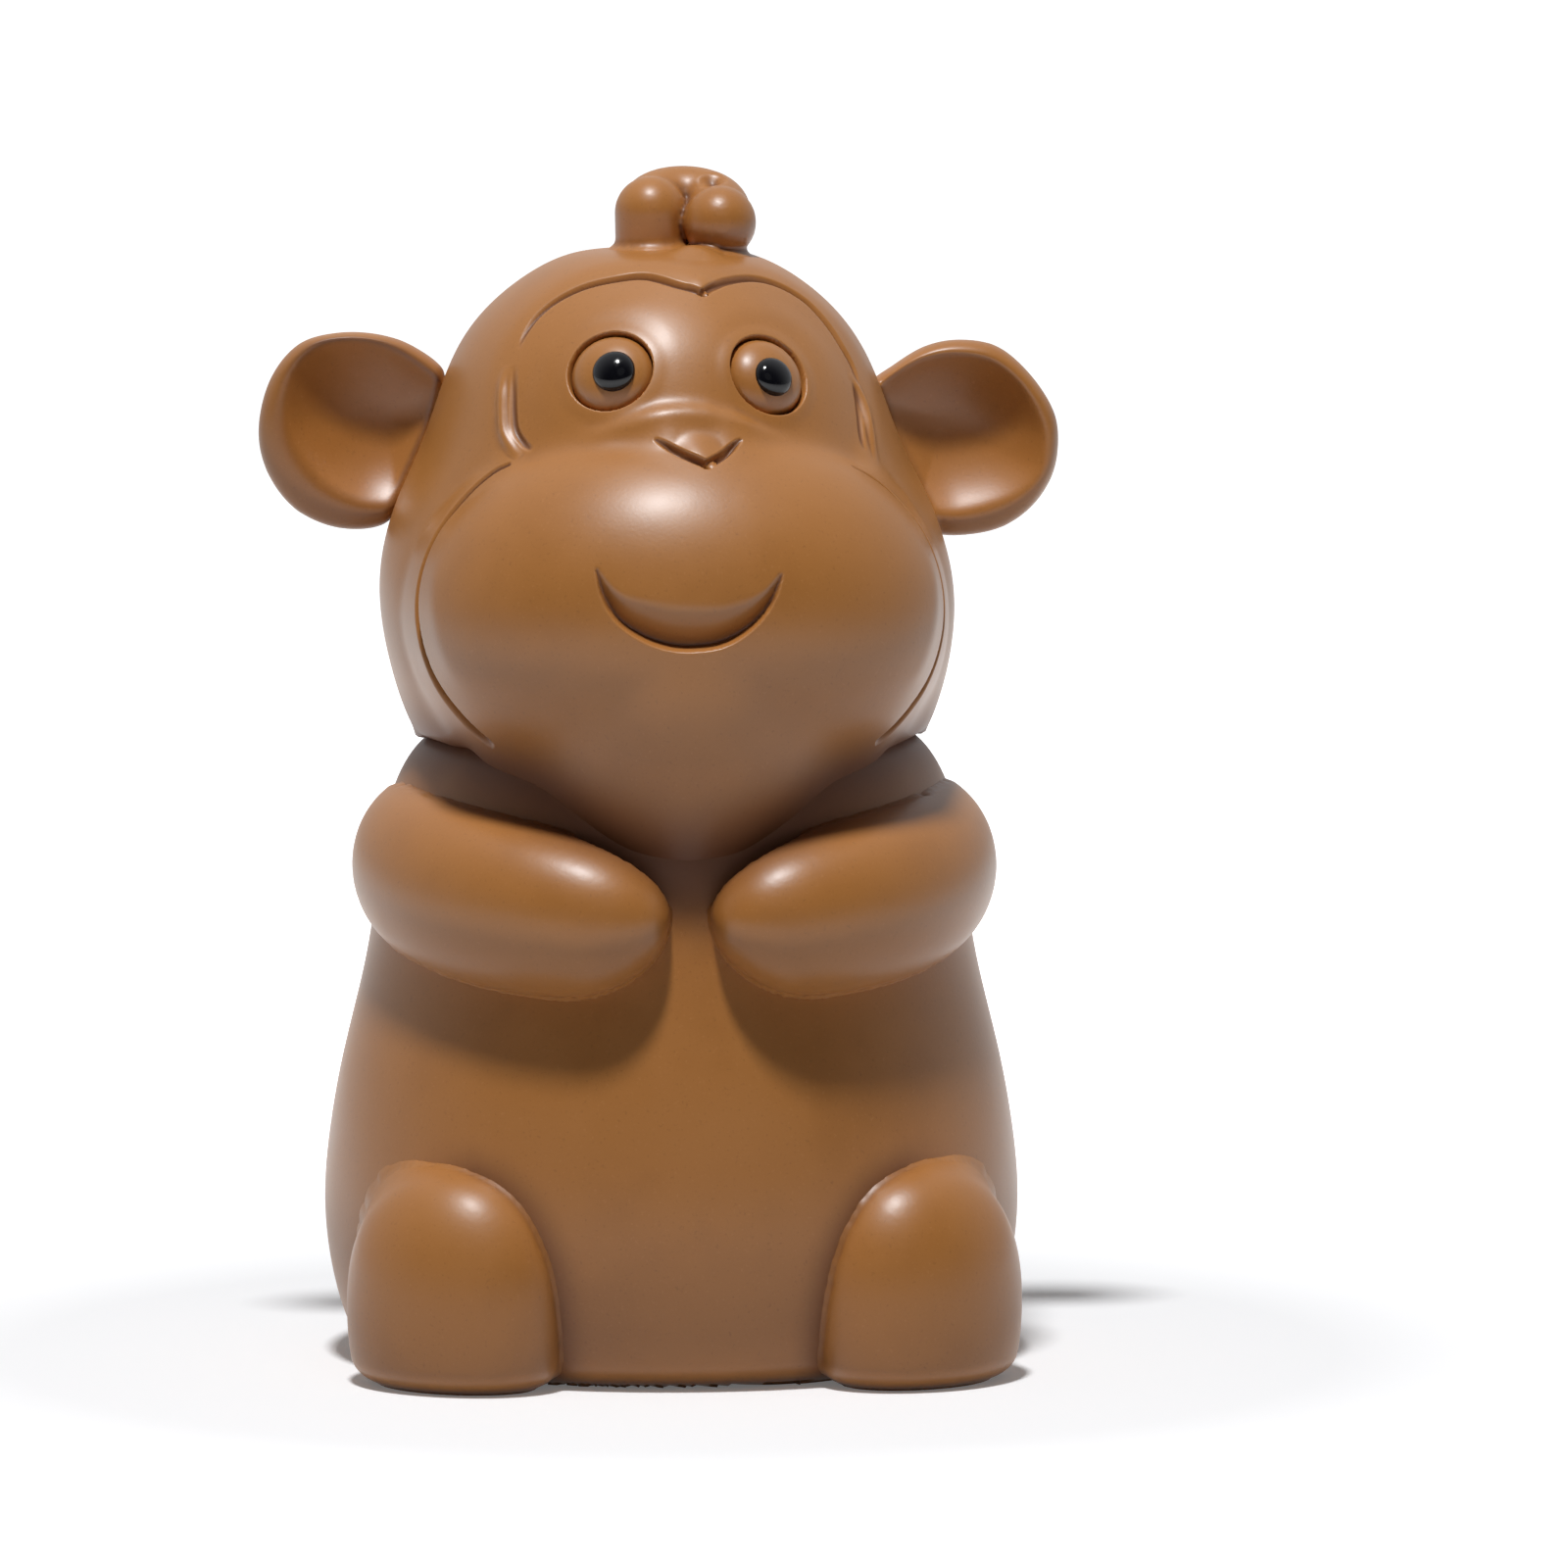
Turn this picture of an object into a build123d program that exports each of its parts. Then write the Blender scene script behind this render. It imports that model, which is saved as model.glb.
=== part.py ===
from build123d import *
import os
from math import cos, radians, sin

# Frame: origin at the centre of the flat base, +Z up, the face looks along -Y, millimetres.
# Every piece is a lump or roll of clay that is luted to its neighbour, so each one ends in
# the exact surface of the piece that carries it.

# Body, a hollow bell that is widest a little above the ground
body_half_width = 23.4
body_half_depth = 21.1
body_height = 44.0
clay_wall = 3.0

# Disc that closes the body from below, and its vent
base_thickness = 2.5
vent_radius = 2.5
vent_setback = 9.0

# Head, seated over the shoulders
head_half_width = 19.3
head_half_depth = 18.2
head_height = 39.3
head_sink = 8.5
head_forward = 1.0
crown_setback = 2.6
crown_lean = 0.6

# Face: the pocket in the head, the brow that lies a little below its edge, and its slight roll to one side
pocket_depth = 1.7
brow_recess = 0.4
brow_half_width = 12.5
brow_height = 17.3
brow_bottom_rise = 5.5
brow_back = 4.5
face_roll = 2.5

# Muzzle, a round bulge across the cheeks
muzzle_half_width = 17.9
muzzle_half_depth = 13.8
muzzle_rise = 13.7
muzzle_drop = 12.6
muzzle_centre_height = 15.0
muzzle_forward = 8.9

# Chin, narrower and longer, which comes down on the chest from inside the muzzle
chin_half_width = 12.0
chin_half_depth = 13.6
chin_drop = 25.0

# Mouth, a smile cut into the muzzle
mouth_half_width = 6.1
mouth_corner_rise = 3.4
mouth_drop = 4.0
mouth_opening = 0.9
mouth_depth = 0.7

# Nose, a shallow V cut
nose_half_width = 3.0
nose_rise = 12.1
nose_drop = 1.4
nose_tip_shift = 0.7
nose_cut = 0.6
nose_depth = 0.5

# Eyes: ball, ring groove round it, and the bead set in its front
eye_spacing = 11.0
eye_rise = 31.7
eyeball_radius = 2.5
eye_sink = 0.8
eye_seat_depth = 0.6
eye_ring_width = 0.45
eye_ring_depth = 0.7
pupil_radius = 1.5
pupil_forward = 1.55

# Ears, dished discs with a rolled rim
ear_radius = 6.8
ear_half_width = 8.0
ear_left_spread = 19.9
ear_right_spread = 18.9
ear_left_rise = 26.6
ear_right_rise = 26.1
ear_setback = 4.0
ear_rim_radius = 0.9
ear_dish_depth = 3.2
ear_back_depth = 4.6
ear_turn = 6
ear_dish_bend_shares = (0.62, 0.72)
ear_back_bend_shares = (0.74, 0.62)

# Lock of hair, one roll that rises from the crown, turns back and round, and ends in a ball in front
lock_radius = 2.45
lock_waist = 2.2
lock_turn_radius = 2.25
lock_tilt = 68
lock_rise = 2.2
lock_reach = 1.6
lock_seat_depth = 2.0
lock_offset = 1.2

# Arms, bent rolls from the shoulders to the middle of the chest
arm_half_height = 5.9
arm_half_depth = 5.3
shoulder_proud = 0.5
hand_proud = 6.2
shoulder_height = 35.2
hand_height = 30.6
arm_start_angle = -26
arm_end_angle = 86

# Legs, domed lumps at the front corners of the base
leg_half_width = 7.8
leg_half_depth = 6.1
leg_height = 14.8
leg_side_inset = 8.1
leg_front_inset = 6.5
leg_turn = 40

# Tail, a short roll with round ends on the back
tail_radius = 2.6
tail_proud = 2.9
tail_root_height = 5.4
tail_tip_height = 14.0
tail_start_angle = 269
tail_end_angle = 289

# Outlines as shares, from the bottom up
# (height, girth) of the body
body_outline_shares = [
    (0, 0.86), (0.05, 0.93), (0.14, 0.98), (0.25, 1), (0.35, 0.985), (0.466, 0.946), (0.614, 0.88),
    (0.75, 0.842), (0.85, 0.812), (0.915, 0.762), (0.963, 0.655), (1, 0.42),
]
# (height, width, depth, setback) of the head
head_outline_shares = [
    (0, 0.306, 0.275, 0), (0.038, 0.561, 0.53, 0), (0.102, 0.776, 0.75, 0.05), (0.191, 0.908, 0.89, 0.1),
    (0.28, 0.968, 0.96, 0.2), (0.382, 1, 1, 0.38), (0.483, 0.982, 1, 0.62), (0.573, 0.921, 0.973, 0.77),
    (0.649, 0.848, 0.931, 0.87), (0.738, 0.78, 0.887, 0.94), (0.827, 0.704, 0.808, 1),
    (0.903, 0.585, 0.679, 1), (0.962, 0.424, 0.503, 1), (0.992, 0.238, 0.275, 1), (1, 0.09, 0.1, 1),
]
# (width, height) of one half of the heart-shaped brow, from its notch round to the muzzle
brow_outline_shares = [
    (0, 0.942), (0.336, 1), (0.608, 0.925), (0.816, 0.792), (0.96, 0.624), (1, 0.451), (0.96, 0.289),
]
# (height, girth) of a leg
leg_outline_shares = [
    (0, 0.84), (0.08, 0.945), (0.25, 1), (0.45, 1), (0.6, 0.955), (0.75, 0.84), (0.87, 0.66), (0.955, 0.4),
    (1, 0.16),
]
# (station, girth) of an arm from the shoulder to the hand
arm_girth_shares = [
    (0, 0.1), (0.035, 0.45), (0.11, 0.76), (0.26, 0.96), (0.45, 1), (0.66, 0.99), (0.82, 0.92),
    (0.92, 0.76), (0.975, 0.5), (1, 0.1),
]

# Latitudes of the cuts through an egg
egg_cut_angles = range(-75, 90, 15)

head_bottom = body_height - head_sink
head_top = head_bottom + head_height
muzzle_height = head_bottom + muzzle_centre_height
brow_bottom = muzzle_height + brow_bottom_rise
overrun = clay_wall


def shares_at(outline, height_share):
    """The shares of an outline at any height, along straight lines between its rows."""
    for low, high in zip(outline, outline[1:]):
        if height_share <= high[0]:
            blend = (height_share - low[0]) / (high[0] - low[0])
            return [a + blend * (b - a) for a, b in zip(low[1:], high[1:])]
    return list(outline[-1][1:])


def body_form(inset):
    """The body as a full form, drawn in by an inset at its sides and top."""
    with BuildPart() as form:
        for height_share, girth_share in body_outline_shares:
            with BuildSketch(Plane.XY.offset(height_share * (body_height - inset))):
                Ellipse(girth_share * (body_half_width - inset), girth_share * (body_half_depth - inset))
        loft()
    return form.part


def head_form(inset):
    """The head as a full form, drawn in by an inset all round."""
    with BuildPart() as form:
        for height_share, width_share, depth_share, setback_share in head_outline_shares:
            height = head_bottom + inset + height_share * (head_height - 2 * inset)
            middle = setback_share * crown_setback - head_forward
            with BuildSketch(Plane((-setback_share * crown_lean, middle, height))):
                Ellipse(width_share * (head_half_width - inset), depth_share * (head_half_depth - inset))
        loft()
    return form.part


def egg_form(half_width, half_depth, rise, drop):
    """An egg at the muzzle's place: a half ellipsoid above its widest level and another below."""
    with BuildPart() as form:
        for angle in egg_cut_angles:
            reach = rise if angle > 0 else drop
            with BuildSketch(Plane((0, -muzzle_forward, muzzle_height + reach * sin(radians(angle))))):
                Ellipse(half_width * cos(radians(angle)), half_depth * cos(radians(angle)))
        loft()
    return form.part


def muzzle_form(inset):
    """The muzzle as a full form, drawn in by an inset all round."""
    return egg_form(
        muzzle_half_width - inset, muzzle_half_depth - inset, muzzle_rise - inset, muzzle_drop - inset,
    )


def rolled(side, height):
    """Where a place on the face lies once the face has rolled about the middle of the muzzle."""
    roll = radians(face_roll)
    rise = height - muzzle_height
    return side * cos(roll) + rise * sin(roll), muzzle_height + rise * cos(roll) - side * sin(roll)


def head_front(side, height):
    """How far forward the head's surface lies at a place beside its middle and at a height."""
    width_share, depth_share, setback_share = shares_at(head_outline_shares, (height - head_bottom) / head_height)
    across = (side + setback_share * crown_lean) / (width_share * head_half_width)
    return setback_share * crown_setback - head_forward - depth_share * head_half_depth * (1 - across ** 2) ** 0.5


def heart_column():
    """A column with the outline of the brow, standing out of the face from a little in front of the crown."""
    half = [(brow_half_width * x, brow_bottom + brow_height * z) for x, z in brow_outline_shares]
    side = half[-1][0]
    with BuildPart() as column:
        with BuildSketch(Plane.XZ.offset(brow_back)):
            with BuildLine():
                Spline(*[rolled(x, z) for x, z in half])
                Spline(*[rolled(-x, z) for x, z in half])
                corners = [half[-1], (side, brow_bottom), (-side, brow_bottom), (-side, half[-1][1])]
                Polyline(*[rolled(x, z) for x, z in corners])
            make_face()
        extrude(amount=head_half_depth + overrun)
    return column.part


# Body shell and the disc that closes it
with BuildPart() as body_shell:
    add(body_form(0))
    add(body_form(clay_wall), mode=Mode.SUBTRACT)

with BuildPart() as base_disc:
    add(body_form(clay_wall))
    split(bisect_by=Plane.XY.offset(base_thickness), keep=Keep.BOTTOM)
    with Locations((0, vent_setback, base_thickness)):
        Hole(vent_radius)

# Skull with the pocket for the face, still solid
with BuildPart() as face_pocket:
    add(heart_column())
    add(head_form(pocket_depth), mode=Mode.SUBTRACT)

with BuildPart() as skull:
    add(head_form(0))
    add(face_pocket.part, mode=Mode.SUBTRACT)


def eye_place(side):
    """Centre of an eyeball, sunk a little into the brow; both eyes look straight ahead."""
    across, height = rolled(side * eye_spacing / 2, head_bottom + eye_rise)
    return Vector(across, head_front(across, height) + brow_recess + eye_sink, height)


def eyeball(side):
    """Clay ball pressed flat at the back, with the hole for its bead."""
    centre = eye_place(side)
    with BuildPart() as ball:
        with Locations(centre):
            Sphere(eyeball_radius)
        split(bisect_by=Plane.XZ.offset(-(centre.Y + eye_seat_depth)), keep=Keep.TOP)
        with Locations(centre - Vector(0, pupil_forward, 0)):
            Sphere(pupil_radius, mode=Mode.SUBTRACT)
    return ball.part


def pupil(side):
    """Bead set in the front of the eyeball."""
    with BuildPart() as bead:
        with Locations(eye_place(side) - Vector(0, pupil_forward, 0)):
            Sphere(pupil_radius)
    return bead.part


def eye_socket(side):
    """The ball's seat and the ring groove round it, which follows the brow's surface."""
    centre = eye_place(side)
    with BuildPart() as socket:
        with BuildSketch(Plane.XZ):
            with Locations((centre.X, centre.Z)):
                Circle(eyeball_radius + eye_ring_width)
        extrude(amount=head_half_depth + overrun)
        add(head_form(brow_recess + eye_ring_depth), mode=Mode.SUBTRACT)
        add(eyeball(side))
        add(pupil(side))
    return socket.part


# Cuts for the smile and the nose, which follow the muzzle's surface
with BuildPart() as mouth_cut:
    corner_height = muzzle_height + mouth_corner_rise
    low_height = corner_height - mouth_drop
    corners = rolled(-mouth_half_width, corner_height), rolled(mouth_half_width, corner_height)
    with BuildSketch(Plane.XZ):
        with BuildLine():
            ThreePointArc(corners[0], rolled(0, low_height), corners[1])
            ThreePointArc(corners[1], rolled(0, low_height - mouth_opening), corners[0])
        make_face()
    extrude(amount=muzzle_forward + muzzle_half_depth + overrun)
    add(muzzle_form(mouth_depth), mode=Mode.SUBTRACT)

with BuildPart() as nose_groove:
    wing_height = muzzle_height + nose_rise
    low_height = wing_height - nose_drop
    with BuildSketch(Plane.XZ):
        with BuildLine():
            Polyline(
                rolled(-nose_half_width, wing_height),
                rolled(nose_tip_shift, low_height + nose_cut / 2),
                rolled(nose_half_width, wing_height),
                rolled(nose_tip_shift, low_height - nose_cut / 2),
                close=True,
            )
        make_face()
    extrude(amount=muzzle_forward + muzzle_half_depth + overrun)
    add(muzzle_form(nose_depth), mode=Mode.SUBTRACT)

# Face: brow in the pocket, muzzle over the cheeks, chin down on the chest
with BuildPart() as face_mask:
    add(head_form(brow_recess))
    add(heart_column(), mode=Mode.INTERSECT)
    add(muzzle_form(0))
    add(egg_form(chin_half_width, chin_half_depth, muzzle_rise / 2, chin_drop))
    add(skull.part, mode=Mode.SUBTRACT)
    add(body_form(0), mode=Mode.SUBTRACT)
    add(mouth_cut.part, mode=Mode.SUBTRACT)
    add(nose_groove.part, mode=Mode.SUBTRACT)
    add(eye_socket(1), mode=Mode.SUBTRACT)
    add(eye_socket(-1), mode=Mode.SUBTRACT)

with BuildPart() as head_shell:
    add(skull.part)
    add(head_form(clay_wall), mode=Mode.SUBTRACT)
    add(body_form(0), mode=Mode.SUBTRACT)
    add(eye_socket(1), mode=Mode.SUBTRACT)
    add(eye_socket(-1), mode=Mode.SUBTRACT)

# Ear before it is set on the head: a dish turned about its middle, then widened to an oval
with BuildPart() as ear_dish:
    rim = ear_radius - ear_rim_radius
    with BuildSketch(Plane.XZ):
        with BuildLine():
            dish_curve = ThreePointArc(
                (0, -ear_dish_depth),
                (rim * ear_dish_bend_shares[0], -ear_dish_depth * ear_dish_bend_shares[1]),
                (rim - ear_rim_radius, 0),
            )
            ThreePointArc(dish_curve @ 1, (rim, ear_rim_radius), (ear_radius, 0))
            back_curve = ThreePointArc(
                (ear_radius, 0),
                (ear_radius * ear_back_bend_shares[0], -ear_back_depth * ear_back_bend_shares[1]),
                (0, -ear_back_depth),
            )
            Line(back_curve @ 1, dish_curve @ 0)
        make_face()
    revolve(axis=Axis.Z)
    scale(by=(ear_half_width / ear_radius, 1, 1))


def ear(side):
    """Dished oval with a rolled rim, cut to the side of the head."""
    turn = radians(ear_turn)
    spread, rise = (ear_right_spread, ear_right_rise) if side > 0 else (ear_left_spread, ear_left_rise)
    centre = (side * spread, ear_setback, head_bottom + rise)
    facing = Plane(centre, x_dir=(cos(turn), side * sin(turn), 0), z_dir=(side * sin(turn), -cos(turn), 0))
    with BuildPart() as dish:
        with Locations(facing.location):
            add(ear_dish.part)
        add(skull.part, mode=Mode.SUBTRACT)
        add(face_mask.part, mode=Mode.SUBTRACT)
    return dish.part


# Lock of hair: root on the crown, turn back and round, ball in front
with BuildPart() as hair_curl:
    root = Vector(-lock_offset, crown_setback - head_forward, head_top + lock_rise)
    back = Vector(0, sin(radians(lock_tilt)), cos(radians(lock_tilt)))
    across = Vector(2 * lock_turn_radius, 0, 0)
    tip = root + across - back * lock_reach
    with BuildLine():
        ThreePointArc(root, root + across / 2 + back * lock_turn_radius, root + across)
        Line(root + across, tip)
    with BuildSketch(Plane(root, z_dir=back)):
        Circle(lock_waist)
    sweep()
    with Locations(root, tip):
        Sphere(lock_radius)
    with BuildSketch(Plane(root - Vector(0, 0, lock_rise + lock_seat_depth))):
        Circle(lock_radius)
    extrude(amount=lock_rise + lock_seat_depth)
    add(skull.part, mode=Mode.SUBTRACT)
    add(face_mask.part, mode=Mode.SUBTRACT)


def place_on_body(angle, height, outward):
    """A point that stands out from the body's surface.

    The angle is seen from above: 0 is the +X side, 90 the front, 270 the back.
    """
    (girth_share,) = shares_at(body_outline_shares, height / body_height)
    return Vector(
        (girth_share * body_half_width + outward) * cos(radians(angle)),
        -(girth_share * body_half_depth + outward) * sin(radians(angle)),
        height,
    )


def arm_place(share):
    """The middle of the right arm's roll, from the shoulder at 0 to the hand at 1."""
    angle = arm_start_angle + share * (arm_end_angle - arm_start_angle)
    height = shoulder_height + share * (hand_height - shoulder_height)
    proud = shoulder_proud + share * (hand_proud - shoulder_proud)
    return place_on_body(angle, height, proud - arm_half_depth)


with BuildPart() as arm_right:
    step_share = 0.01
    for share, girth_share in arm_girth_shares:
        along = arm_place(share + step_share) - arm_place(share - step_share)
        with BuildSketch(Plane(arm_place(share), x_dir=Vector(0, 0, 1).cross(along), z_dir=along)):
            Ellipse(arm_half_depth * girth_share, arm_half_height * girth_share)
    loft()
    add(body_form(0), mode=Mode.SUBTRACT)
    add(head_form(0), mode=Mode.SUBTRACT)
    add(face_mask.part, mode=Mode.SUBTRACT)

with BuildPart() as arm_left:
    add(mirror(arm_right.part, about=Plane.YZ, mode=Mode.PRIVATE))

with BuildPart() as tail:
    with BuildLine() as tail_line:
        ThreePointArc(
            place_on_body(tail_start_angle, tail_root_height, tail_proud - tail_radius),
            place_on_body(
                (tail_start_angle + tail_end_angle) / 2, (tail_root_height + tail_tip_height) / 2,
                tail_proud - tail_radius,
            ),
            place_on_body(tail_end_angle, tail_tip_height, tail_proud - tail_radius),
        )
    with BuildSketch(Plane(tail_line.line @ 0, z_dir=tail_line.line % 0)):
        Circle(tail_radius)
    sweep(path=tail_line.line)
    with Locations(tail_line.line @ 0, tail_line.line @ 1):
        Sphere(tail_radius)
    add(body_form(0), mode=Mode.SUBTRACT)


def leg(side):
    """Domed lump that stands on the ground at a front corner of the body."""
    turn = radians(leg_turn)
    with BuildPart() as lump:
        for height_share, girth_share in leg_outline_shares:
            centre = (
                side * (body_half_width - leg_side_inset), leg_front_inset - body_half_depth,
                height_share * leg_height,
            )
            with BuildSketch(Plane(centre, x_dir=(cos(turn), side * sin(turn), 0), z_dir=(0, 0, 1))):
                Ellipse(leg_half_width * girth_share, leg_half_depth * girth_share)
        loft()
        add(body_form(0), mode=Mode.SUBTRACT)
    return lump.part


os.makedirs("parts", exist_ok=True)
pieces = {
    "body_shell": body_shell.part,
    "base_disc": base_disc.part,
    "head_shell": head_shell.part,
    "face_mask": face_mask.part,
    "ear_left": ear(-1),
    "ear_right": ear(1),
    "hair_curl": hair_curl.part,
    "eyeball_left": eyeball(-1),
    "eyeball_right": eyeball(1),
    "pupil_left": pupil(-1),
    "pupil_right": pupil(1),
    "arm_left": arm_left.part,
    "arm_right": arm_right.part,
    "leg_left": leg(-1),
    "leg_right": leg(1),
    "tail": tail.part,
}
for name, piece in pieces.items():
    piece.label = name
    export_step(piece, f"parts/{name}.step")
    print(name, "volume", round(piece.volume, 1), "solids", len(piece.solids()))
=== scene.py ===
"""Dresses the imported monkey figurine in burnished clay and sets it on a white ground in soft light.

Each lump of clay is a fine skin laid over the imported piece, which is then worked as a potter works it:
smoothed, luted to its neighbour with a fillet, and drawn on with a tool along pixels of the photograph.
All lengths are in metres unless a name says otherwise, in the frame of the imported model.
"""

import logging
import math
from dataclasses import dataclass, field, replace
from enum import Enum

import bmesh
import bpy
import numpy as np
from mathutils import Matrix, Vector
from mathutils.bvhtree import BVHTree
from mathutils.kdtree import KDTree


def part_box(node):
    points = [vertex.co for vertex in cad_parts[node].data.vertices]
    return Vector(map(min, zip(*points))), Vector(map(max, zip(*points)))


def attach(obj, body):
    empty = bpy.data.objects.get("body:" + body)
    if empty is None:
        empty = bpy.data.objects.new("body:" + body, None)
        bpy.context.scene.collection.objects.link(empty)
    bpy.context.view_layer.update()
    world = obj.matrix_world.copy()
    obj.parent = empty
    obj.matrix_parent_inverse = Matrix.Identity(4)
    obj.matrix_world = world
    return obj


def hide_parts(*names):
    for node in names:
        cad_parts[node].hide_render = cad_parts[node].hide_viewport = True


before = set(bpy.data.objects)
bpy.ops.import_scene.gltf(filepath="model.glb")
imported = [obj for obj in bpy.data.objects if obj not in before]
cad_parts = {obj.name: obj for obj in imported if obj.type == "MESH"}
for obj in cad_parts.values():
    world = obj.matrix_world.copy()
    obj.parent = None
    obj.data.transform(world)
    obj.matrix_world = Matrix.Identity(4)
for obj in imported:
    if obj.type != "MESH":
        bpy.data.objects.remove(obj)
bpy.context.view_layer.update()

MM = 0.001
PHOTO_SIZE = 1600
Pixel = tuple[float, float]
Triple = tuple[float, float, float]

TINY = 1e-12            # keeps a division from being one by zero
CURVE_SPANS = 40        # steps of a stroke's line from one of its pixels to the next
DRAW_MARGIN = 1.2       # how far beside a stroke's line it is looked for, as a share of its half-width
SCOOP_POWER = 1.3       # how a ledge's scoop runs out
BRINK_SHARE = 0.09      # width of a ledge's brink as a share of its stroke's half-width
RUB = 0.5               # how far a vertex follows its neighbours in a pass of smoothing
SWELL = 0.52            # how far it goes back in the pass that gives the lump its bulk back
LUTE_SEARCH = 3.0       # how far from the host a fillet is looked for, in radii
LUTE_BELOW = 1.5        # how far below the host's surface a fillet goes, in radii
FLANK = 1.6             # how soon a flank counts as upright where the foot is rounded
FULL_BEND = 900.0       # bend of the surface, in 1/m, that counts as fully hollow or raised
RELIEF_ROUNDS = 3       # how often the bend is evened out before it is written
RELIEF_FROM = 1.5 * MM  # height below which the relief's tint, painted shade in hollows and paler rubbed edges, fades towards the ground
KNEAD_MERGE = 0.002 * MM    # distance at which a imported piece's doubled vertices are merged
KNEAD_REACH = 0.25 * MM     # how near to its host a roll counts as lying on it
KNEAD_DEPTH = 1.2 * MM      # how far a roll reaches into its host
KNEAD_ROUNDS = 12

# painted shade beside the legs, on the body and on the legs themselves: the clay is darkened where shade falls
# in the seam
LEG_PAINTED_SHADE: dict[str, float] = {"reach": 2.2 * MM, "strength": 0.62, "half_width": 14.0 * MM}
HIP_PAINTED_SHADE: dict[str, float] = {"reach": 1.2 * MM, "strength": 0.5, "half_width": 14.0 * MM}

log = logging.getLogger("figurine")


def unit(rows: np.ndarray) -> np.ndarray:
    """Gives each row the length 1."""
    return rows / np.maximum(np.linalg.norm(rows, axis=-1, keepdims=True), TINY)


def ease(share: np.ndarray | float) -> np.ndarray | float:
    """Runs smoothly from 0 to 1 while the share runs from 0 to 1."""
    held = np.clip(share, 0.0, 1.0)
    return held * held * (3.0 - 2.0 * held)


def add_object(name: str, data: bpy.types.ID) -> bpy.types.Object:
    """Makes an object of a mesh, camera or light and links it to the scene."""
    made = bpy.data.objects.new(name, data)
    bpy.context.scene.collection.objects.link(made)
    return made


def look_along(looker: bpy.types.Object, way: Vector) -> None:
    """Turns a camera or lamp to point along a way."""
    looker.rotation_mode = "QUATERNION"
    looker.rotation_quaternion = way.to_track_quat("-Z", "Y")


def curve_through(rows: np.ndarray, spans: int, closed: bool = False) -> np.ndarray:
    """Draws a smooth curve through rows of points, which may carry further columns.

    Args:
        rows: The points that the curve passes, one to a row.
        spans: How many steps the curve takes from each point to the next.
        closed: Whether the last point leads back to the first.

    Returns:
        The rows of the curve.
    """
    if closed:
        padded = np.vstack([rows[-1], rows, rows[0], rows[1]])
    else:
        padded = np.vstack([2 * rows[0] - rows[1], rows, 2 * rows[-1] - rows[-2]])
    steps = np.linspace(0.0, 1.0, spans, endpoint=False)[:, None]
    pieces = []
    for one, two, three, four in zip(padded, padded[1:], padded[2:], padded[3:]):
        pieces.append(0.5 * (2 * two + (three - one) * steps
                             + (2 * one - 5 * two + 4 * three - four) * steps ** 2
                             + (3 * two - one - 3 * three + four) * steps ** 3))
    curve = np.vstack(pieces)
    return curve if closed else np.vstack([curve, rows[-1]])


@dataclass
class Viewpoint:
    """The photograph's camera, in metres and degrees."""

    target: Triple = (0.0, 0.0, 0.0386)
    azimuth: float = -4.5
    elevation: float = 5.5
    distance: float = 0.800
    frame_width: float = 0.10557
    sensor: float = 36.0
    slide_right: float = 0.0076
    clip: tuple[float, float] = (0.01, 10.0)

    def __post_init__(self) -> None:
        """Works out the camera's own axes."""
        turn, rise = math.radians(self.azimuth), math.radians(self.elevation)
        level = math.cos(rise)
        self.back = Vector((math.sin(turn) * level, -math.cos(turn) * level, math.sin(rise)))
        self.right = Vector((math.cos(turn), math.sin(turn), 0.0))
        self.up = self.back.cross(self.right)
        self.middle = Vector(self.target) + self.right * self.slide_right
        self.eye = self.middle + self.back * self.distance

    def place(self) -> None:
        """Makes the camera and gives it to the scene."""
        data = bpy.data.cameras.new("camera")
        data.sensor_width = self.sensor
        data.lens = self.sensor * self.distance / self.frame_width
        data.clip_start, data.clip_end = self.clip
        camera = add_object("camera", data)
        camera.location = self.eye
        look_along(camera, -self.back)
        bpy.context.scene.camera = camera

    def sight(self, pixel: Pixel) -> Vector:
        """Gives the direction in which the camera sees a pixel of the photograph."""
        across = (pixel[0] / PHOTO_SIZE - 0.5) * self.frame_width
        above = (0.5 - pixel[1] / PHOTO_SIZE) * self.frame_width
        return (self.right * across + self.up * above - self.back * self.distance).normalized()

    def on_depth(self, pixel: Pixel, depth: float) -> np.ndarray:
        """Gives the point that a pixel shows on the upright plane y = depth."""
        way = self.sight(pixel)
        return np.array(self.eye + way * ((depth - self.eye.y) / way.y))


VIEW = Viewpoint()


class Tool(Enum):
    """The mark that a modelling tool leaves across its stroke."""

    GROOVE = "groove"
    RIDGE = "ridge"
    LEDGE = "ledge"

    def mark(self, across: np.ndarray) -> np.ndarray:
        """Gives how far the clay rises, as a share of the stroke's depth.

        Args:
            across: Distance from the stroke's line as a share of its half-width, positive to its left.

        Returns:
            The rise, negative where the clay sinks.
        """
        swell = np.clip(1.0 - across ** 2, 0.0, None) ** 2
        if self is Tool.GROOVE:
            return -swell
        if self is Tool.RIDGE:
            return swell
        scoop = ease(1.0 - across) ** SCOOP_POWER
        brink = ease(1.0 + across / BRINK_SHARE)
        return -np.where(across >= 0.0, scoop, brink)


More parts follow.
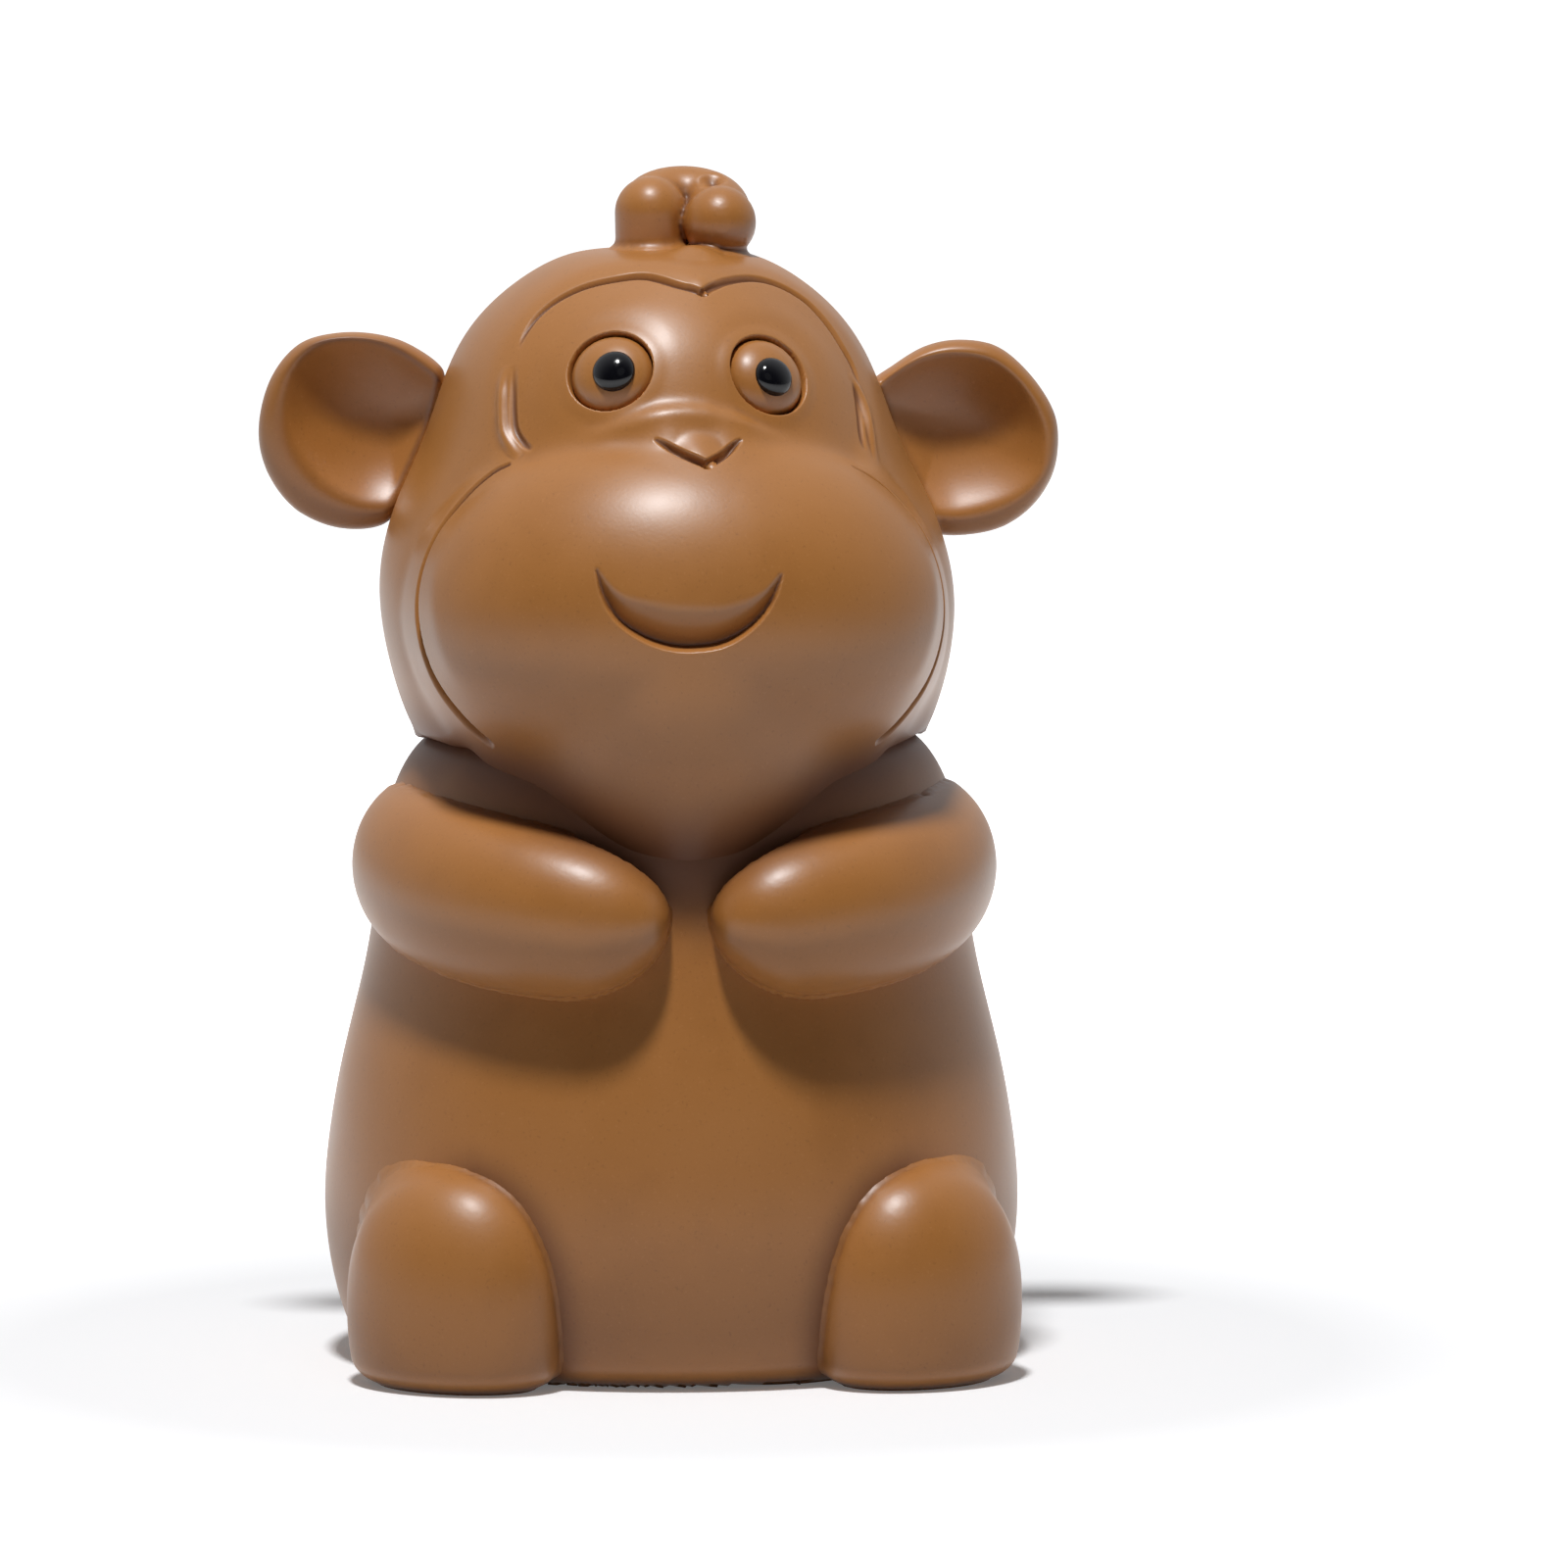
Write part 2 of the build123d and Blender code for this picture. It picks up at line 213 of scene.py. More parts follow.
@dataclass(frozen=True)
class Stroke:
    """One pass of a tool along pixels of the photograph, with half-widths and depths in millimetres.

    A mirrored stroke lies where its pixels do on the other half of the figurine. A steadied one has its
    course from front to back evened out so many times, where the camera sees it edge on.
    """

    pixels: tuple[Pixel, ...]
    widths: tuple[float, ...] = (1.0,)
    depths: tuple[float, ...] = (1.0,)
    tool: Tool = Tool.GROOVE
    mirrored: bool = False
    steadied: int = 0

    def rows(self, surface: BVHTree) -> np.ndarray:
        """Lays the stroke on a surface as rows of x, y, z, half-width and depth in metres."""
        marks = []
        shares = np.linspace(0.0, 1.0, len(self.pixels))
        widths, depths = (np.interp(shares, np.linspace(0.0, 1.0, len(sizes)), sizes)
                          for sizes in (self.widths, self.depths))
        for pixel, width, depth in zip(self.pixels, widths, depths):
            spot = surface.ray_cast(VIEW.eye, VIEW.sight(pixel))[0]
            if spot is not None and self.mirrored:
                spot = surface.find_nearest(Vector((-spot.x, spot.y, spot.z)))[0]
            if spot is not None:
                marks.append((*spot, width * MM, depth * MM))
        rows = np.array(marks)
        for _ in range(self.steadied):
            rows[1:-1, 1] = 0.5 * rows[1:-1, 1] + 0.25 * (rows[:-2, 1] + rows[2:, 1])
            rows[:, :3] = [surface.find_nearest(row[:3])[0] for row in rows]
        return curve_through(rows, CURVE_SPANS)

    def both(self) -> tuple["Stroke", "Stroke"]:
        """Gives the stroke and its mirror image."""
        return self, replace(self, mirrored=True)


def tree_of(rows: np.ndarray) -> KDTree:
    """Makes a search tree of rows that start with x, y and z."""
    tree = KDTree(len(rows))
    for index, row in enumerate(rows):
        tree.insert(row[:3], index)
    tree.balance()
    return tree


def inside_box(places: np.ndarray, rows: np.ndarray, margin: float) -> np.ndarray:
    """Tells which places lie in the box of some rows, widened by a margin."""
    low, high = rows[:, :3].min(axis=0) - margin, rows[:, :3].max(axis=0) + margin
    return np.all((places > low) & (places < high), axis=1)


@dataclass(frozen=True)
class Neighbour:
    """A surface beside which shade is painted into the clay as a darker colour.

    The painted shade has the given strength at the seam, and fades out at reach and beyond a half-width.
    """

    surface: BVHTree
    reach: float = 5.0 * MM
    strength: float = 1.0
    half_width: float = 60.0 * MM
    fading: float = 4.0 * MM

    def shade_at(self, place: np.ndarray) -> float:
        """Gives the painted shade at a place, from 0 to 1."""
        gap = self.surface.find_nearest(place, self.reach)[3]
        if gap is None:
            return 0.0
        beyond = (abs(place[0]) - self.half_width) / self.fading
        return self.strength * (1.0 - gap / self.reach) * max(0.0, 1.0 - max(0.0, beyond))


class Lump:
    """A mesh that is worked like clay."""

    def __init__(self, name: str, work: bmesh.types.BMesh) -> None:
        """Takes over a bmesh as the lump's mesh."""
        self.mesh = bpy.data.meshes.new(name)
        work.to_mesh(self.mesh)
        work.free()

    @property
    def points(self) -> np.ndarray:
        """The places of the vertices, one to a row."""
        rows = np.empty(len(self.mesh.vertices) * 3, np.float32)
        self.mesh.vertices.foreach_get("co", rows)
        return rows.reshape(-1, 3).astype(float)

    @points.setter
    def points(self, rows: np.ndarray) -> None:
        self.mesh.vertices.foreach_set("co", rows.astype(np.float32).ravel())
        self.mesh.update()

    @property
    def normals(self) -> np.ndarray:
        """The directions that the vertices face, one to a row."""
        rows = np.empty(len(self.mesh.vertices) * 3, np.float32)
        self.mesh.vertex_normals.foreach_get("vector", rows)
        return rows.reshape(-1, 3).astype(float)

    @property
    def edges(self) -> np.ndarray:
        """The pairs of vertices that edges join."""
        rows = np.empty(len(self.mesh.edges) * 2, np.int32)
        self.mesh.edges.foreach_get("vertices", rows)
        return rows.reshape(-1, 2)

    def around(self, values: np.ndarray) -> np.ndarray:
        """Averages each vertex's neighbours.

        Args:
            values: A column, or rows of columns, with one entry for each vertex.

        Returns:
            The averages, in the same form.
        """
        one, two = self.edges.T
        size = len(self.mesh.vertices)
        count = np.bincount(one, minlength=size) + np.bincount(two, minlength=size)
        sums = [np.bincount(one, column[two], size) + np.bincount(two, column[one], size)
                for column in values.reshape(size, -1).T]
        return (np.array(sums) / np.maximum(count, 1)).T.reshape(values.shape)

    def smooth(self, rounds: int, where: np.ndarray | None = None, hold: bool = True) -> None:
        """Rubs the surface smooth.

        Args:
            rounds: How many passes to make.
            where: How strongly each vertex follows, from 0 to 1, or all of them.
            hold: Whether each pass is followed by one that gives the lump its bulk back.
        """
        rows = self.points
        share = 1.0 if where is None else where[:, None]
        for _ in range(rounds):
            rows = rows + RUB * share * (self.around(rows) - rows)
            if hold:
                rows = rows - SWELL * share * (self.around(rows) - rows)
        self.points = rows

    def spread(self, chosen: np.ndarray, rings: int) -> np.ndarray:
        """Grows a choice of vertices by a number of rings."""
        grown = chosen.astype(float)
        for _ in range(rings):
            grown = np.maximum(grown, (self.around(grown) > 0).astype(float))
        return grown > 0

    def refine(self, chosen: np.ndarray) -> None:
        """Splits every face that touches a chosen vertex into four."""
        work = bmesh.new()
        work.from_mesh(self.mesh)
        edges = {edge for face in work.faces if any(chosen[vert.index] for vert in face.verts)
                 for edge in face.edges}
        bmesh.ops.subdivide_edges(work, edges=list(edges), cuts=1, use_grid_fill=True)
        bmesh.ops.triangulate(work, faces=[face for face in work.faces if len(face.verts) > 3])
        work.to_mesh(self.mesh)
        work.free()

    def surface(self) -> BVHTree:
        """Makes a search tree of the lump's faces."""
        faces = [tuple(face.vertices) for face in self.mesh.polygons]
        return BVHTree.FromPolygons(self.points.tolist(), faces)

    def near(self, rows: np.ndarray, reach: float) -> np.ndarray:
        """Tells which vertices lie within reach of a row of points."""
        places = self.points
        chosen = inside_box(places, rows, reach)
        tree = tree_of(rows)
        for index in np.flatnonzero(chosen):
            chosen[index] = tree.find(places[index])[2] < reach
        return chosen

    def draw(self, rows: np.ndarray, tool: Tool) -> None:
        """Runs a tool over the surface.

        Args:
            rows: The stroke's line as rows of x, y, z, half-width and depth.
            tool: The mark that is left.
        """
        places, facing = self.points, self.normals
        chosen = np.flatnonzero(inside_box(places, rows, DRAW_MARGIN * rows[:, 3].max()))
        tree = tree_of(rows)
        nearest = np.array([tree.find(places[index])[1] for index in chosen], int)
        ways = unit(np.gradient(rows[:, :3], axis=0))[nearest]
        offset = places[chosen] - rows[nearest, :3]
        outward = facing[chosen]
        offset -= outward * np.sum(offset * outward, axis=1, keepdims=True)
        side = np.sum(offset * np.cross(outward, ways), axis=1)
        away = np.sign(side) * np.linalg.norm(offset, axis=1)
        across = away / rows[nearest, 3]
        rise = tool.mark(across) * rows[nearest, 4] * (np.abs(across) < 1.0)
        places[chosen] += outward * rise[:, None]
        self.points = places

    def dome(self, spot: np.ndarray, radius: float, height: float) -> None:
        """Raises the surface round a spot, or presses it in where the height is negative."""
        places = self.points
        share = np.linalg.norm(places - spot, axis=1) / radius
        self.points = places + self.normals * (height * np.clip(1 - share ** 2, 0, None) ** 2)[:, None]

    def sink(self, host: BVHTree, reach: float, depth: float) -> None:
        """Pushes what lies on another lump's surface into that lump.

        Args:
            host: The other lump's surface.
            reach: How near to it counts as lying on it.
            depth: How far it is pushed in.
        """
        places = self.points
        for index, place in enumerate(places):
            spot, outward, _, gap = host.find_nearest(place)
            above = (Vector(place) - spot).dot(outward)
            if above < reach:
                places[index] = spot - outward * max(depth, gap if above < 0 else 0)
        self.points = places

    def lute(self, host: BVHTree, radius: float, where: np.ndarray | None = None) -> None:
        """Draws the clay out into a fillet where the lump meets another.

        Args:
            host: The other lump's surface.
            radius: The fillet's radius.
            where: How much of the fillet each vertex gets, from 0 to 1, or all of it.
        """
        places, facing = self.points, self.normals
        moves = np.zeros_like(places)
        for index, place in enumerate(places):
            spot, outward, _, _ = host.find_nearest(place, LUTE_SEARCH * radius)
            if spot is None:
                continue
            above = (Vector(place) - spot).dot(outward)
            if above > radius or above < -LUTE_BELOW * radius:
                continue
            level = max(above, 0.0) / radius
            flare = radius * (1.0 - math.sqrt(max(0.0, 1.0 - (1.0 - level) ** 2)))
            aside = Vector(facing[index]) - outward * outward.dot(facing[index])
            if aside.length > 1e-4:
                moves[index] = aside * flare
        if where is not None:
            moves *= where[:, None]
        self.points = places + moves

    def round_foot(self, radius: float) -> None:
        """Rounds the edge on which the lump stands."""
        places, facing = self.points, self.normals
        level = np.clip(places[:, 2] / radius, 0.0, 1.0)
        inward = radius * (1.0 - np.sqrt(np.clip(1.0 - (1.0 - level) ** 2, 0.0, 1.0)))
        flat = facing * (1.0, 1.0, 0.0)
        strength = np.clip(FLANK * np.linalg.norm(flat, axis=1, keepdims=True), 0.0, 1.0)
        self.points = places - unit(flat) * strength * inward[:, None]

    def mark_relief(self) -> None:
        """Writes how hollow and how raised the surface is, for the finish to paint shade in the hollows and
        paler rubbed edges on the raised parts.
        """
        places, facing = self.points, self.normals
        one, two = self.edges.T
        size = len(places)
        lengths = np.sum((places[one] - places[two]) ** 2, axis=1)
        count = np.bincount(one, minlength=size) + np.bincount(two, minlength=size)
        square = (np.bincount(one, lengths, size) + np.bincount(two, lengths, size)) / np.maximum(count, 1)
        bend = np.sum((self.around(places) - places) * facing, axis=1) / np.maximum(square, TINY)
        for _ in range(RELIEF_ROUNDS):
            bend = 0.5 * (bend + self.around(bend))
        bend *= np.clip(places[:, 2] / RELIEF_FROM, 0.0, 1.0)
        self.write("hollow", np.clip(bend / FULL_BEND, 0.0, 1.0))
        self.write("raised", np.clip(-bend / FULL_BEND, 0.0, 1.0))

    def mark_painted_shade(self, *neighbours: Neighbour) -> None:
        """Writes how much shade is painted on the surface beside its neighbours, for the finish to follow."""
        shade_levels = [max(neighbour.shade_at(place) for neighbour in neighbours) for place in self.points]
        self.write("painted_shade", ease(np.array(shade_levels)))

    def write(self, name: str, values: np.ndarray) -> None:
        """Writes a value for each vertex into an attribute of the mesh."""
        layer = self.mesh.attributes.new(name, "FLOAT", "POINT")
        layer.data.foreach_set("value", values.astype(np.float32))

    def finish(self, slot: str, finish: bpy.types.Material, *nodes: str) -> None:
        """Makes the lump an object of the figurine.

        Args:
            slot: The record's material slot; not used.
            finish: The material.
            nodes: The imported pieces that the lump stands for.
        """
        self.mark_relief()
        self.mesh.shade_smooth()
        self.mesh.materials.append(finish)
        piece = add_object(self.mesh.name, self.mesh)
        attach(piece, "root")
        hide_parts(*nodes)
        log.info("%s: %d faces", piece.name, len(self.mesh.polygons))


def node_surface(*names: str) -> tuple[BVHTree, np.ndarray]:
    """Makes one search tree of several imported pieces.

    Args:
        names: The pieces.

    Returns:
        The tree, and for each piece the number of its first face.
    """
    points: list[Vector] = []
    faces: list[tuple[int, ...]] = []
    starts: list[int] = []
    for name in names:
        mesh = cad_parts[name].data
        starts.append(len(faces))
        base = len(points)
        points.extend(vertex.co.copy() for vertex in mesh.vertices)
        faces.extend(tuple(base + index for index in face.vertices) for face in mesh.polygons)
    return BVHTree.FromPolygons(points, faces), np.array(starts)


@dataclass
class Skin:
    """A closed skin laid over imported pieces, cast on them from all round one centre.

    Each vertex has its ray from the centre, the piece that it met, and whether that is known.
    """

    name: str
    nodes: tuple[str, ...]
    centre: Triple
    fineness: int = 7
    reach: float = 60.0 * MM
    least_facing: float = 0.05
    rays: np.ndarray = field(default_factory=lambda: np.zeros((0, 3)), init=False)
    known: np.ndarray = field(default_factory=lambda: np.zeros(0, bool), init=False)
    owner: np.ndarray = field(default_factory=lambda: np.zeros(0, int), init=False)

    def cast(self) -> Lump:
        """Lays the skin on the pieces.

        Returns:
            The lump. A vertex that meets no outer surface keeps a middling distance and isn't known.
        """
        work = bmesh.new()
        bmesh.ops.create_icosphere(work, subdivisions=self.fineness, radius=1.0)
        lump = Lump(self.name, work)
        self.rays = unit(lump.points)
        tree, starts = node_surface(*self.nodes)
        middle = np.array(self.centre)
        far = np.zeros(len(self.rays))
        self.known = np.zeros(len(self.rays), bool)
        self.owner = np.full(len(self.rays), -1)
        for index, ray in enumerate(self.rays):
            spot, outward, face, gap = tree.ray_cast(middle + ray * self.reach, -ray, self.reach)
            if spot is not None and outward.dot(ray) > self.least_facing:
                far[index] = self.reach - gap
                self.known[index] = True
                self.owner[index] = np.searchsorted(starts, face, side="right") - 1
        far[~self.known] = far[self.known].mean()
        lump.points = middle + self.rays * far[:, None]
        return lump

    def seams(self, lump: Lump, rings: int) -> np.ndarray:
        """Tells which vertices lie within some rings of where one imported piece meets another."""
        one, two = lump.edges.T
        parting = self.owner[one] != self.owner[two]
        chosen = np.zeros(len(self.owner), bool)
        chosen[one[parting]] = True
        chosen[two[parting]] = True
        return lump.spread(chosen, rings)

    def fill(self, lump: Lump, unknown: np.ndarray, rounds: int) -> None:
        """Spans the unknown parts of the skin evenly between the known ones."""
        middle = np.array(self.centre)
        far = np.linalg.norm(lump.points - middle, axis=1)
        for _ in range(rounds):
            far = np.where(unknown, lump.around(far), far)
        lump.points = middle + self.rays * far[:, None]


def kneaded(name: str, node: str, voxel: float, host: BVHTree) -> Lump:
    """Copies a packed roll of clay as an even mesh that reaches into what carries it.

    Args:
        name: The new mesh's name.
        node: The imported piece.
        voxel: The size of the new mesh's faces.
        host: The surface that carries the piece.

    Returns:
        The lump.
    """
    work = bmesh.new()
    work.from_mesh(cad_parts[node].data)
    bmesh.ops.remove_doubles(work, verts=work.verts, dist=KNEAD_MERGE)
    rough = Lump(name + "_rough", work)
    rough.sink(host, KNEAD_REACH, KNEAD_DEPTH)
    holder = add_object(name + "_rough", rough.mesh)
    remesh = holder.modifiers.new("even", "REMESH")
    remesh.mode = "VOXEL"
    remesh.voxel_size = voxel
    remesh.adaptivity = 0.0
    settled = holder.evaluated_get(bpy.context.evaluated_depsgraph_get())
    work = bmesh.new()
    work.from_mesh(settled.to_mesh())
    bmesh.ops.triangulate(work, faces=work.faces)
    lump = Lump(name, work)
    bpy.data.objects.remove(holder)
    bpy.data.meshes.remove(rough.mesh)
    lump.smooth(KNEAD_ROUNDS)
    return lump


FOREHEAD = (
    # forehead line, from its notch out to the left, then to the right
    Stroke(((717, 299), (704, 294), (689, 290), (658, 282), (627, 285), (595, 293), (567, 307),
            (548, 323), (536, 340), (529, 356)),
           (0.38, 0.42, 0.46, 0.42, 0.36, 0.32, 0.30),
           (0.40, 0.42, 0.46, 0.42, 0.34, 0.22, 0.0)),
    Stroke(((717, 299), (727, 293), (741, 287), (768, 284), (795, 291), (823, 308), (845, 332),
            (858, 352), (869, 372), (876, 392)),
           (0.38, 0.42, 0.44, 0.40, 0.40, 0.42, 0.40, 0.32),
           (0.40, 0.42, 0.42, 0.42, 0.44, 0.44, 0.30, 0.0)),
)

# crease round the muzzle, thin beside the eyes and deep at the jaw
MUZZLE = Stroke(((519, 474), (501, 484), (477, 502), (455, 525), (437, 560), (427, 595), (424, 625),
                 (428, 655), (440, 685), (455, 711), (473, 735), (489, 750), (504, 762)),
                (0.26, 0.32, 0.36, 0.40, 0.52, 0.60, 0.60, 0.50),
                (0.12, 0.28, 0.34, 0.48, 0.86, 1.10, 1.05, 0.0),
                steadied=5).both()

# nose, two cuts that meet in a V
NOSE = (
    Stroke(((670, 449), (685, 457), (702, 466), (722, 474)),
           (0.24, 0.38, 0.44, 0.44), (0.10, 0.50, 0.65, 0.70)),
    Stroke(((755, 449), (746, 457), (735, 466), (722, 474)),
           (0.24, 0.38, 0.44, 0.44), (0.10, 0.50, 0.65, 0.70)),
)

# thin creases where the brow lies below the lips of clay beside it
TEMPLES = (
    Stroke(((525, 372), (524, 398), (524, 422), (526, 439), (534, 452), (543, 459)),
           (0.34, 0.40, 0.40, 0.36, 0.30), (0.0, 0.20, 0.24, 0.26, 0.0)),
    Stroke(((869, 384), (874, 404), (877, 424), (879, 444), (882, 460)),
           (0.34, 0.40, 0.40, 0.30), (0.0, 0.22, 0.24, 0.0)),
)

GROOVES = (*FOREHEAD, *MUZZLE, *NOSE, *TEMPLES)

# mouth, left to right, scooped from above
MOUTH = Stroke(((608, 584), (615, 610), (630, 633), (654, 650), (681, 660), (709, 662), (740, 657),
                (768, 640), (788, 616), (798, 590)),
               (0.5, 1.3, 2.2, 2.9, 3.2, 3.2, 2.9, 2.2, 1.3, 0.5),
               (0.15, 0.65, 1.00, 1.25, 1.35, 1.35, 1.25, 1.00, 0.65, 0.15),
               Tool.LEDGE)

# lips of clay beside the edges of the face
LIPS = (
    Stroke(((517, 372), (513, 388), (512, 404), (512, 422), (514, 442), (522, 458), (532, 466)),
           (0.50, 0.56, 0.56, 0.50), (0.0, 0.26, 0.28, 0.0), Tool.RIDGE),
    Stroke(((866, 380), (877, 400), (883, 417), (887, 437), (891, 455), (896, 474)),
           (0.50, 0.54, 0.54, 0.50), (0.0, 0.30, 0.32, 0.0), Tool.RIDGE),
)

# bridge of the nose, drawn from right to left so that the clay rises below the line, and the slope under it
BRIDGE = (
    Stroke(((806, 444), (780, 438), (754, 428), (724, 420), (697, 418), (668, 421), (640, 429),
            (612, 438), (586, 446)),
           (1.2, 2.4, 3.2, 3.4, 3.2, 2.4, 1.2), (0.0, -0.34, -0.62, -0.66, -0.62, -0.34, 0.0), Tool.LEDGE),
    Stroke(((664, 448), (686, 445), (710, 444), (734, 445), (756, 448)),
           (1.1, 1.5, 1.6, 1.5, 1.1), (0.0, 0.16, 0.20, 0.16, 0.0), Tool.RIDGE),
)

SOFT_CREASES = (
    # top of the muzzle, from the left hook over the bridge to the right
    Stroke(((533, 463), (560, 450), (600, 436), (650, 424), (704, 418), (756, 422), (810, 430),
            (850, 446), (878, 468))),
    # lower corners of the skull
    *Stroke(((424, 730), (434, 742), (450, 752), (476, 762), (502, 776))).both(),
    # where the chin comes out of the muzzle
    Stroke(((470, 735), (520, 745), (565, 735), (610, 715), (660, 700), (705, 696), (750, 700),
            (800, 715), (845, 735), (890, 745), (935, 730))),
)

# under the muzzle on either side of the chin
JAW = Stroke(((510, 762), (540, 768), (572, 776), (604, 790))).both()


@dataclass(frozen=True)
class Socket:
    """Where an eye sits on the face, and the way that it looks."""

    spot: np.ndarray
    way: np.ndarray

    @classmethod
    def on(cls, lump: Lump, pixel: Pixel, radius: float) -> "Socket":
        """Finds the socket that a pixel shows, square to the face round it."""
        spot = np.array(lump.surface().ray_cast(VIEW.eye, VIEW.sight(pixel))[0])
        close = np.linalg.norm(lump.points - spot, axis=1) < radius
        return cls(spot, unit(lump.normals[close].mean(axis=0)))

    def measure(self, places: np.ndarray) -> tuple[np.ndarray, np.ndarray]:
        """Gives how far each place lies from the socket's axis, and how far along it."""
        offset = places - self.spot
        along = offset @ self.way
        return np.linalg.norm(offset - along[:, None] * self.way, axis=1), along


@dataclass(frozen=True)
class Boss:
    """A small round swelling of the clay, which a negative rise turns into a dimple."""

    pixel: Pixel
    radius: float
    rise: float

    def spot(self, surface: BVHTree) -> np.ndarray:
        """Gives the place on a surface that the pixel shows."""
        return np.array(surface.ray_cast(VIEW.eye, VIEW.sight(self.pixel))[0])


@dataclass
class Head:
    """Skull, cheeks and face, with the drawn lines of brow, muzzle, nose and mouth.

    Rounds are passes of smoothing, and a reach is how far beside a line they go.
    """

    centre: Triple = (0.0, -0.004, 0.052)
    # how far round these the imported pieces' surface gives way to a smooth span
    seam_rings: int = 3
    eye_clearance: float = 4.0 * MM
    mouth_clearance: float = 1.5 * MM
    groove_clearance: float = 2.8 * MM
    groove_from: int = 160      # row of the muzzle's groove at which its jaw part starts
    fill_rounds: int = 500
    skin_rounds: int = 14
    seam_rounds: int = 20
    fade_rings: int = 2
    fade_rounds: int = 4
    crease_reach: float = 2.6 * MM
    crease_rounds: int = 16
    jaw_reach: float = 4.2 * MM
    jaw_rounds: int = 60
    bridge_rounds: int = 4
    # the chin is pressed back from its top down, and fully from chin_depth in front of the origin
    chin_top: float = 46.0 * MM
    chin_span: float = 12.0 * MM
    chin_depth: float = 8.0 * MM
    chin_press: float = 2.6 * MM
    chin_power: float = 1.6
    # how far beside a line faces are split, with its shares for the second time and for the eyes' rims
    line_reach: float = 1.15 * MM
    second_reach: float = 0.62
    rim_reach: float = 0.75
    fresh_rounds: int = 5
    socket_pixels: tuple[Pixel, ...] = ((622, 378), (785, 382))
    socket_radius: float = 2.84 * MM
    socket_depth: float = 1.0 * MM
    socket_edge: float = 0.20 * MM
    socket_back: float = 3.0 * MM
    rim_back: float = 2.0 * MM
    lid_reach: float = 4.0 * MM
    lid_rise: float = 0.12 * MM
    nose: Boss = Boss((713, 458), 1.7 * MM, 0.28 * MM)
    notch: Boss = Boss((717, 288), 1.2 * MM, 0.14 * MM)
    crown_peak: Triple = (0.0014, -0.0030, 0.0745)
    crown_radius: float = 2.4 * MM
    crown_rise: float = 0.55 * MM
    sockets: list[Socket] = field(default_factory=list, init=False)

    def build(self) -> Lump:
        """Makes the head.

        Returns:
            The finished lump.
        """
        skin = Skin("head", ("head_shell", "face_mask"), self.centre)
        lump = skin.cast()
        unknown = self.unknown(skin, lump)
        skin.fill(lump, unknown, self.fill_rounds)
        lump.smooth(self.skin_rounds)
        self.press_chin(lump)
        surface = lump.surface()
        for strokes, reach, rounds in ((SOFT_CREASES, self.crease_reach, self.crease_rounds),
                                       (JAW, self.jaw_reach, self.jaw_rounds)):
            for stroke in strokes:
                close = lump.near(stroke.rows(surface), reach)
                lump.smooth(rounds, self.faded(lump, close), hold=False)
        lump.smooth(self.seam_rounds, self.faded(lump, unknown))
        self.sockets = [Socket.on(lump, pixel, self.socket_radius) for pixel in self.socket_pixels]
        surface = lump.surface()
        for stroke in BRIDGE:
            lump.draw(stroke.rows(surface), stroke.tool)
        bridge = lump.near(BRIDGE[0].rows(lump.surface()), self.crease_reach)
        lump.smooth(self.bridge_rounds, self.faded(lump, bridge), hold=False)
        self.refine(lump)
        self.carve(lump)
        return lump

    def unknown(self, skin: Skin, lump: Lump) -> np.ndarray:
        """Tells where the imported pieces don't give the skin.

        Args:
            skin: The skin as it was cast.
            lump: Its mesh.

        Returns:
            The vertices that met nothing, and those at seams, eyes, nose, mouth and jaw.
        """
        surface, places = lump.surface(), lump.points
        unknown = ~skin.known | skin.seams(lump, self.seam_rings)
        for eye in eye_centres():
            unknown |= np.linalg.norm(places - eye, axis=1) < self.eye_clearance
        for stroke in (*NOSE, MOUTH):
            unknown |= lump.near(stroke.rows(surface), self.mouth_clearance)
        for stroke in MUZZLE:
            unknown |= lump.near(stroke.rows(surface)[self.groove_from:], self.groove_clearance)
        return unknown

    def press_chin(self, lump: Lump) -> None:
        """Presses the underside of the chin back towards the chest."""
        places = lump.points
        low = np.clip((self.chin_top - places[:, 2]) / self.chin_span, 0.0, None)
        ahead = np.clip(-places[:, 1] / self.chin_depth, 0.0, 1.0)
        places[:, 1] += self.chin_press * low ** self.chin_power * ahead
        lump.points = places

    def faded(self, lump: Lump, chosen: np.ndarray) -> np.ndarray:
        """Turns a choice of vertices into a share that fades out at its edge."""
        share = lump.spread(chosen, self.fade_rings).astype(float)
        for _ in range(self.fade_rounds):
            share = lump.around(share)
        return share

    def refine(self, lump: Lump) -> None:
        """Splits the faces finely along every line that is drawn and round the eyes."""
        surface = lump.surface()
        lines = [stroke.rows(surface) for stroke in (MOUTH, *GROOVES)]
        for reach in (self.line_reach, self.second_reach * self.line_reach):
            chosen = np.zeros(len(lump.mesh.vertices), bool)
            for line in lines:
                chosen |= lump.near(line, reach)
            for socket in self.sockets:
                gap, along = socket.measure(lump.points)
                close = np.abs(gap - self.socket_radius) < self.rim_reach * reach
                chosen |= close & (along > -self.rim_back)
            lump.refine(chosen)
            fresh = np.zeros(len(lump.mesh.vertices), bool)
            fresh[len(chosen):] = True
            lump.smooth(self.fresh_rounds, self.faded(lump, fresh))

